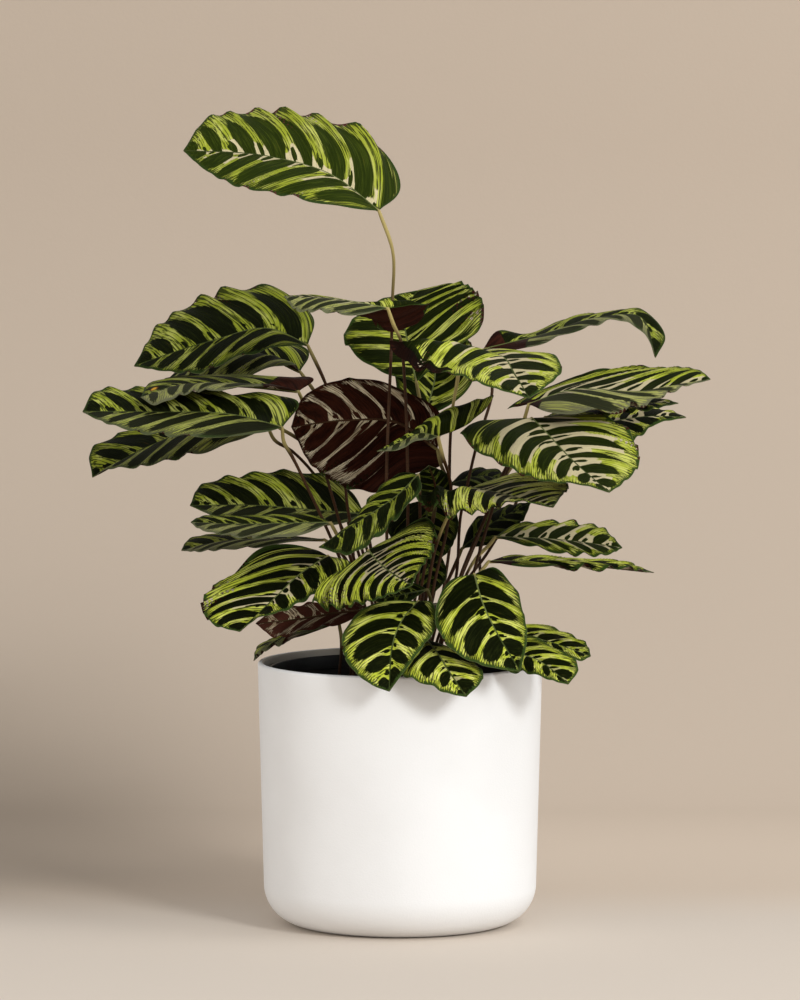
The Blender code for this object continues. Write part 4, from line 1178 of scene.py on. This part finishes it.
def crumbs(paint):
    """Crumbs of peat and bark: small lumpy balls, each squashed, turned and set on the soil."""
    draw = np.random.default_rng(CRUMB_SEED)
    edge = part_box("soil")[1][0] - CRUMB_MARGIN
    rows, sides = 5, 6
    up = np.linspace(0, math.pi, rows)[:, None]
    angle = np.arange(sides)[None, :] * math.tau / sides
    ball = [np.sin(up) * np.cos(angle), np.sin(up) * np.sin(angle), np.cos(up) + 0 * angle]
    ball = np.stack(ball, axis=-1).reshape(-1, 3)
    radius = edge * np.sqrt(draw.uniform(0, 1, CRUMBS))
    angle = draw.uniform(0, math.tau, CRUMBS)
    x, y = radius * np.cos(angle), radius * np.sin(angle)
    z = mound(radius, edge) + SOIL_ROUGHNESS * rough(x, y)
    size = draw.uniform(*CRUMB_SIZES, CRUMBS)[:, None] * draw.uniform(0.6, 1.4, (CRUMBS, 3))
    lumpy = ball * draw.uniform(0.75, 1.2, (CRUMBS, len(ball), 1)) * size[:, None]
    a, b = spun(lumpy[..., 0], lumpy[..., 1], draw.uniform(0, math.tau, CRUMBS)[:, None])
    points = np.stack([a, b, lumpy[..., 2]], axis=-1) + np.stack([x, y, z], axis=1)[:, None]
    faces = grid_faces(rows, sides, True)[None] + np.arange(CRUMBS)[:, None, None] * len(ball)
    obj = skin("soil_crumbs", points.reshape(-1, 3), faces.reshape(-1, 4)[:, ::-1], [paint])
    piece(obj)


def backdrop():
    """A sweep of floor and wall in one sheet, lighter on the floor before the pot by painted light. Its
    wall is only as wide and high as the photo shows, so that the plant can be seen past it from behind.

    Its paint brightens the wall's foot with painted light and darkens it towards the left with a
    painted shadow.
    """
    paint = Paint("beige_paper", 0.9, 0.1)
    x, y, _ = paint.parts(paint.place())
    # Painted light: the floor before the pot lighter than the wall and the wall's foot brightened;
    # painted shadow: the wall darker towards the left
    back = paint.step(y, -0.02, 0.17)
    grain = paint.noise(paint.place(), 300.0)
    glow = 1.0 + back * (0.25 - 0.33 * paint.step(y, 0.3, 1.0))
    shade = paint.step(x, 0.06, -0.32) * paint.step(y, 1.0, 0.5) * paint.step(y, -0.05, 0.25) * 0.46
    colour = paint.mix(back, (0.68, 0.6, 0.52), (0.545, 0.455, 0.37))
    inputs = {0: colour, "Scale": glow * (1.0 - shade)}
    colour = paint.node("VectorMath", {"operation": "SCALE"}, inputs).outputs[0]
    paint.finish(colour, 0.85 + 0.1 * grain, grain, 0.0001)
    run = np.vstack([[(-5.0, 0.0)], arc((0.55, 0.5), 0.5, -90, 0, 40), [(1.05, PAPER_HEIGHT)]])
    half = np.full(len(run), PAPER_WIDTH / 2)
    half[:2] = FLOOR_WIDTH / 2
    left, right = (np.column_stack([side, run]) for side in (-half, half))
    points = np.stack([left, right], axis=1).reshape(-1, 3)
    obj = skin("backdrop", points, grid_faces(len(run), 2, False)[:, ::-1], [paint.material])


def aimed(name, data, place, aim):
    """An object in the scene that looks from its place to its aim."""
    obj = added(name, data)
    obj.location = place
    obj.rotation_euler = (Vector(aim) - Vector(place)).to_track_quat("-Z", "Y").to_euler()
    return obj


def light(name, place, aim, size, power, colour):
    """A soft square light of this size in metres and power in watts."""
    data = bpy.data.lights.new(name, "AREA")
    data.shape = "SQUARE"
    data.size = size
    data.energy = power
    data.color = colour
    aimed(name, data, place, aim)


def lights():
    light("key", (1.9, -2.8, 1.7), (0.0, 0.0, 0.25), 0.8, 68.0, (0.96, 0.985, 1.0))
    light("fill", (-2.9, -1.8, 1.0), (0.0, 0.0, 0.25), 2.4, 28.0, (1.0, 0.98, 0.95))
    light("side", (3.3, -0.7, 1.0), (0.0, 0.0, 0.25), 2.0, 22.0, (0.95, 0.98, 1.0))
    light("wall", (1.2, -0.6, 2.6), (0.2, 1.0, 0.4), 1.2, 12.0, (1.0, 0.99, 0.97))
    world = bpy.data.worlds.new("studio")
    world.use_nodes = True
    sky = world.node_tree.nodes["Background"].inputs
    sky["Color"].default_value = (1.0, 0.985, 0.965, 1.0)
    sky["Strength"].default_value = 0.56
    bpy.context.scene.world = world


def camera():
    """The photo's camera, whose focal length comes from pixels on the frame's long side."""
    data = bpy.data.cameras.new("camera")
    data.sensor_width = SENSOR
    data.lens = PHOTO_FOCAL / PHOTO_HEIGHT * SENSOR
    place = (0.0, -CAMERA_BACK, CAMERA_HEIGHT)
    bpy.context.scene.camera = aimed("camera", data, place, (0.0, 0.0, AIM_HEIGHT))


def main():
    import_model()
    bpy.context.scene.view_settings.view_transform = "Standard"
    camera()
    lights()
    backdrop()
    cachepot()
    nursery_pot()
    mix = potting_mix()
    soil(mix)
    crumbs(mix)
    materials = [blade_top(), blade_under(), petiole_paint()]
    for number, leaf in enumerate(LEAVES):
        leaf_piece(leaf, 3.0 * number, materials)
    bpy.context.view_layer.update()


main()
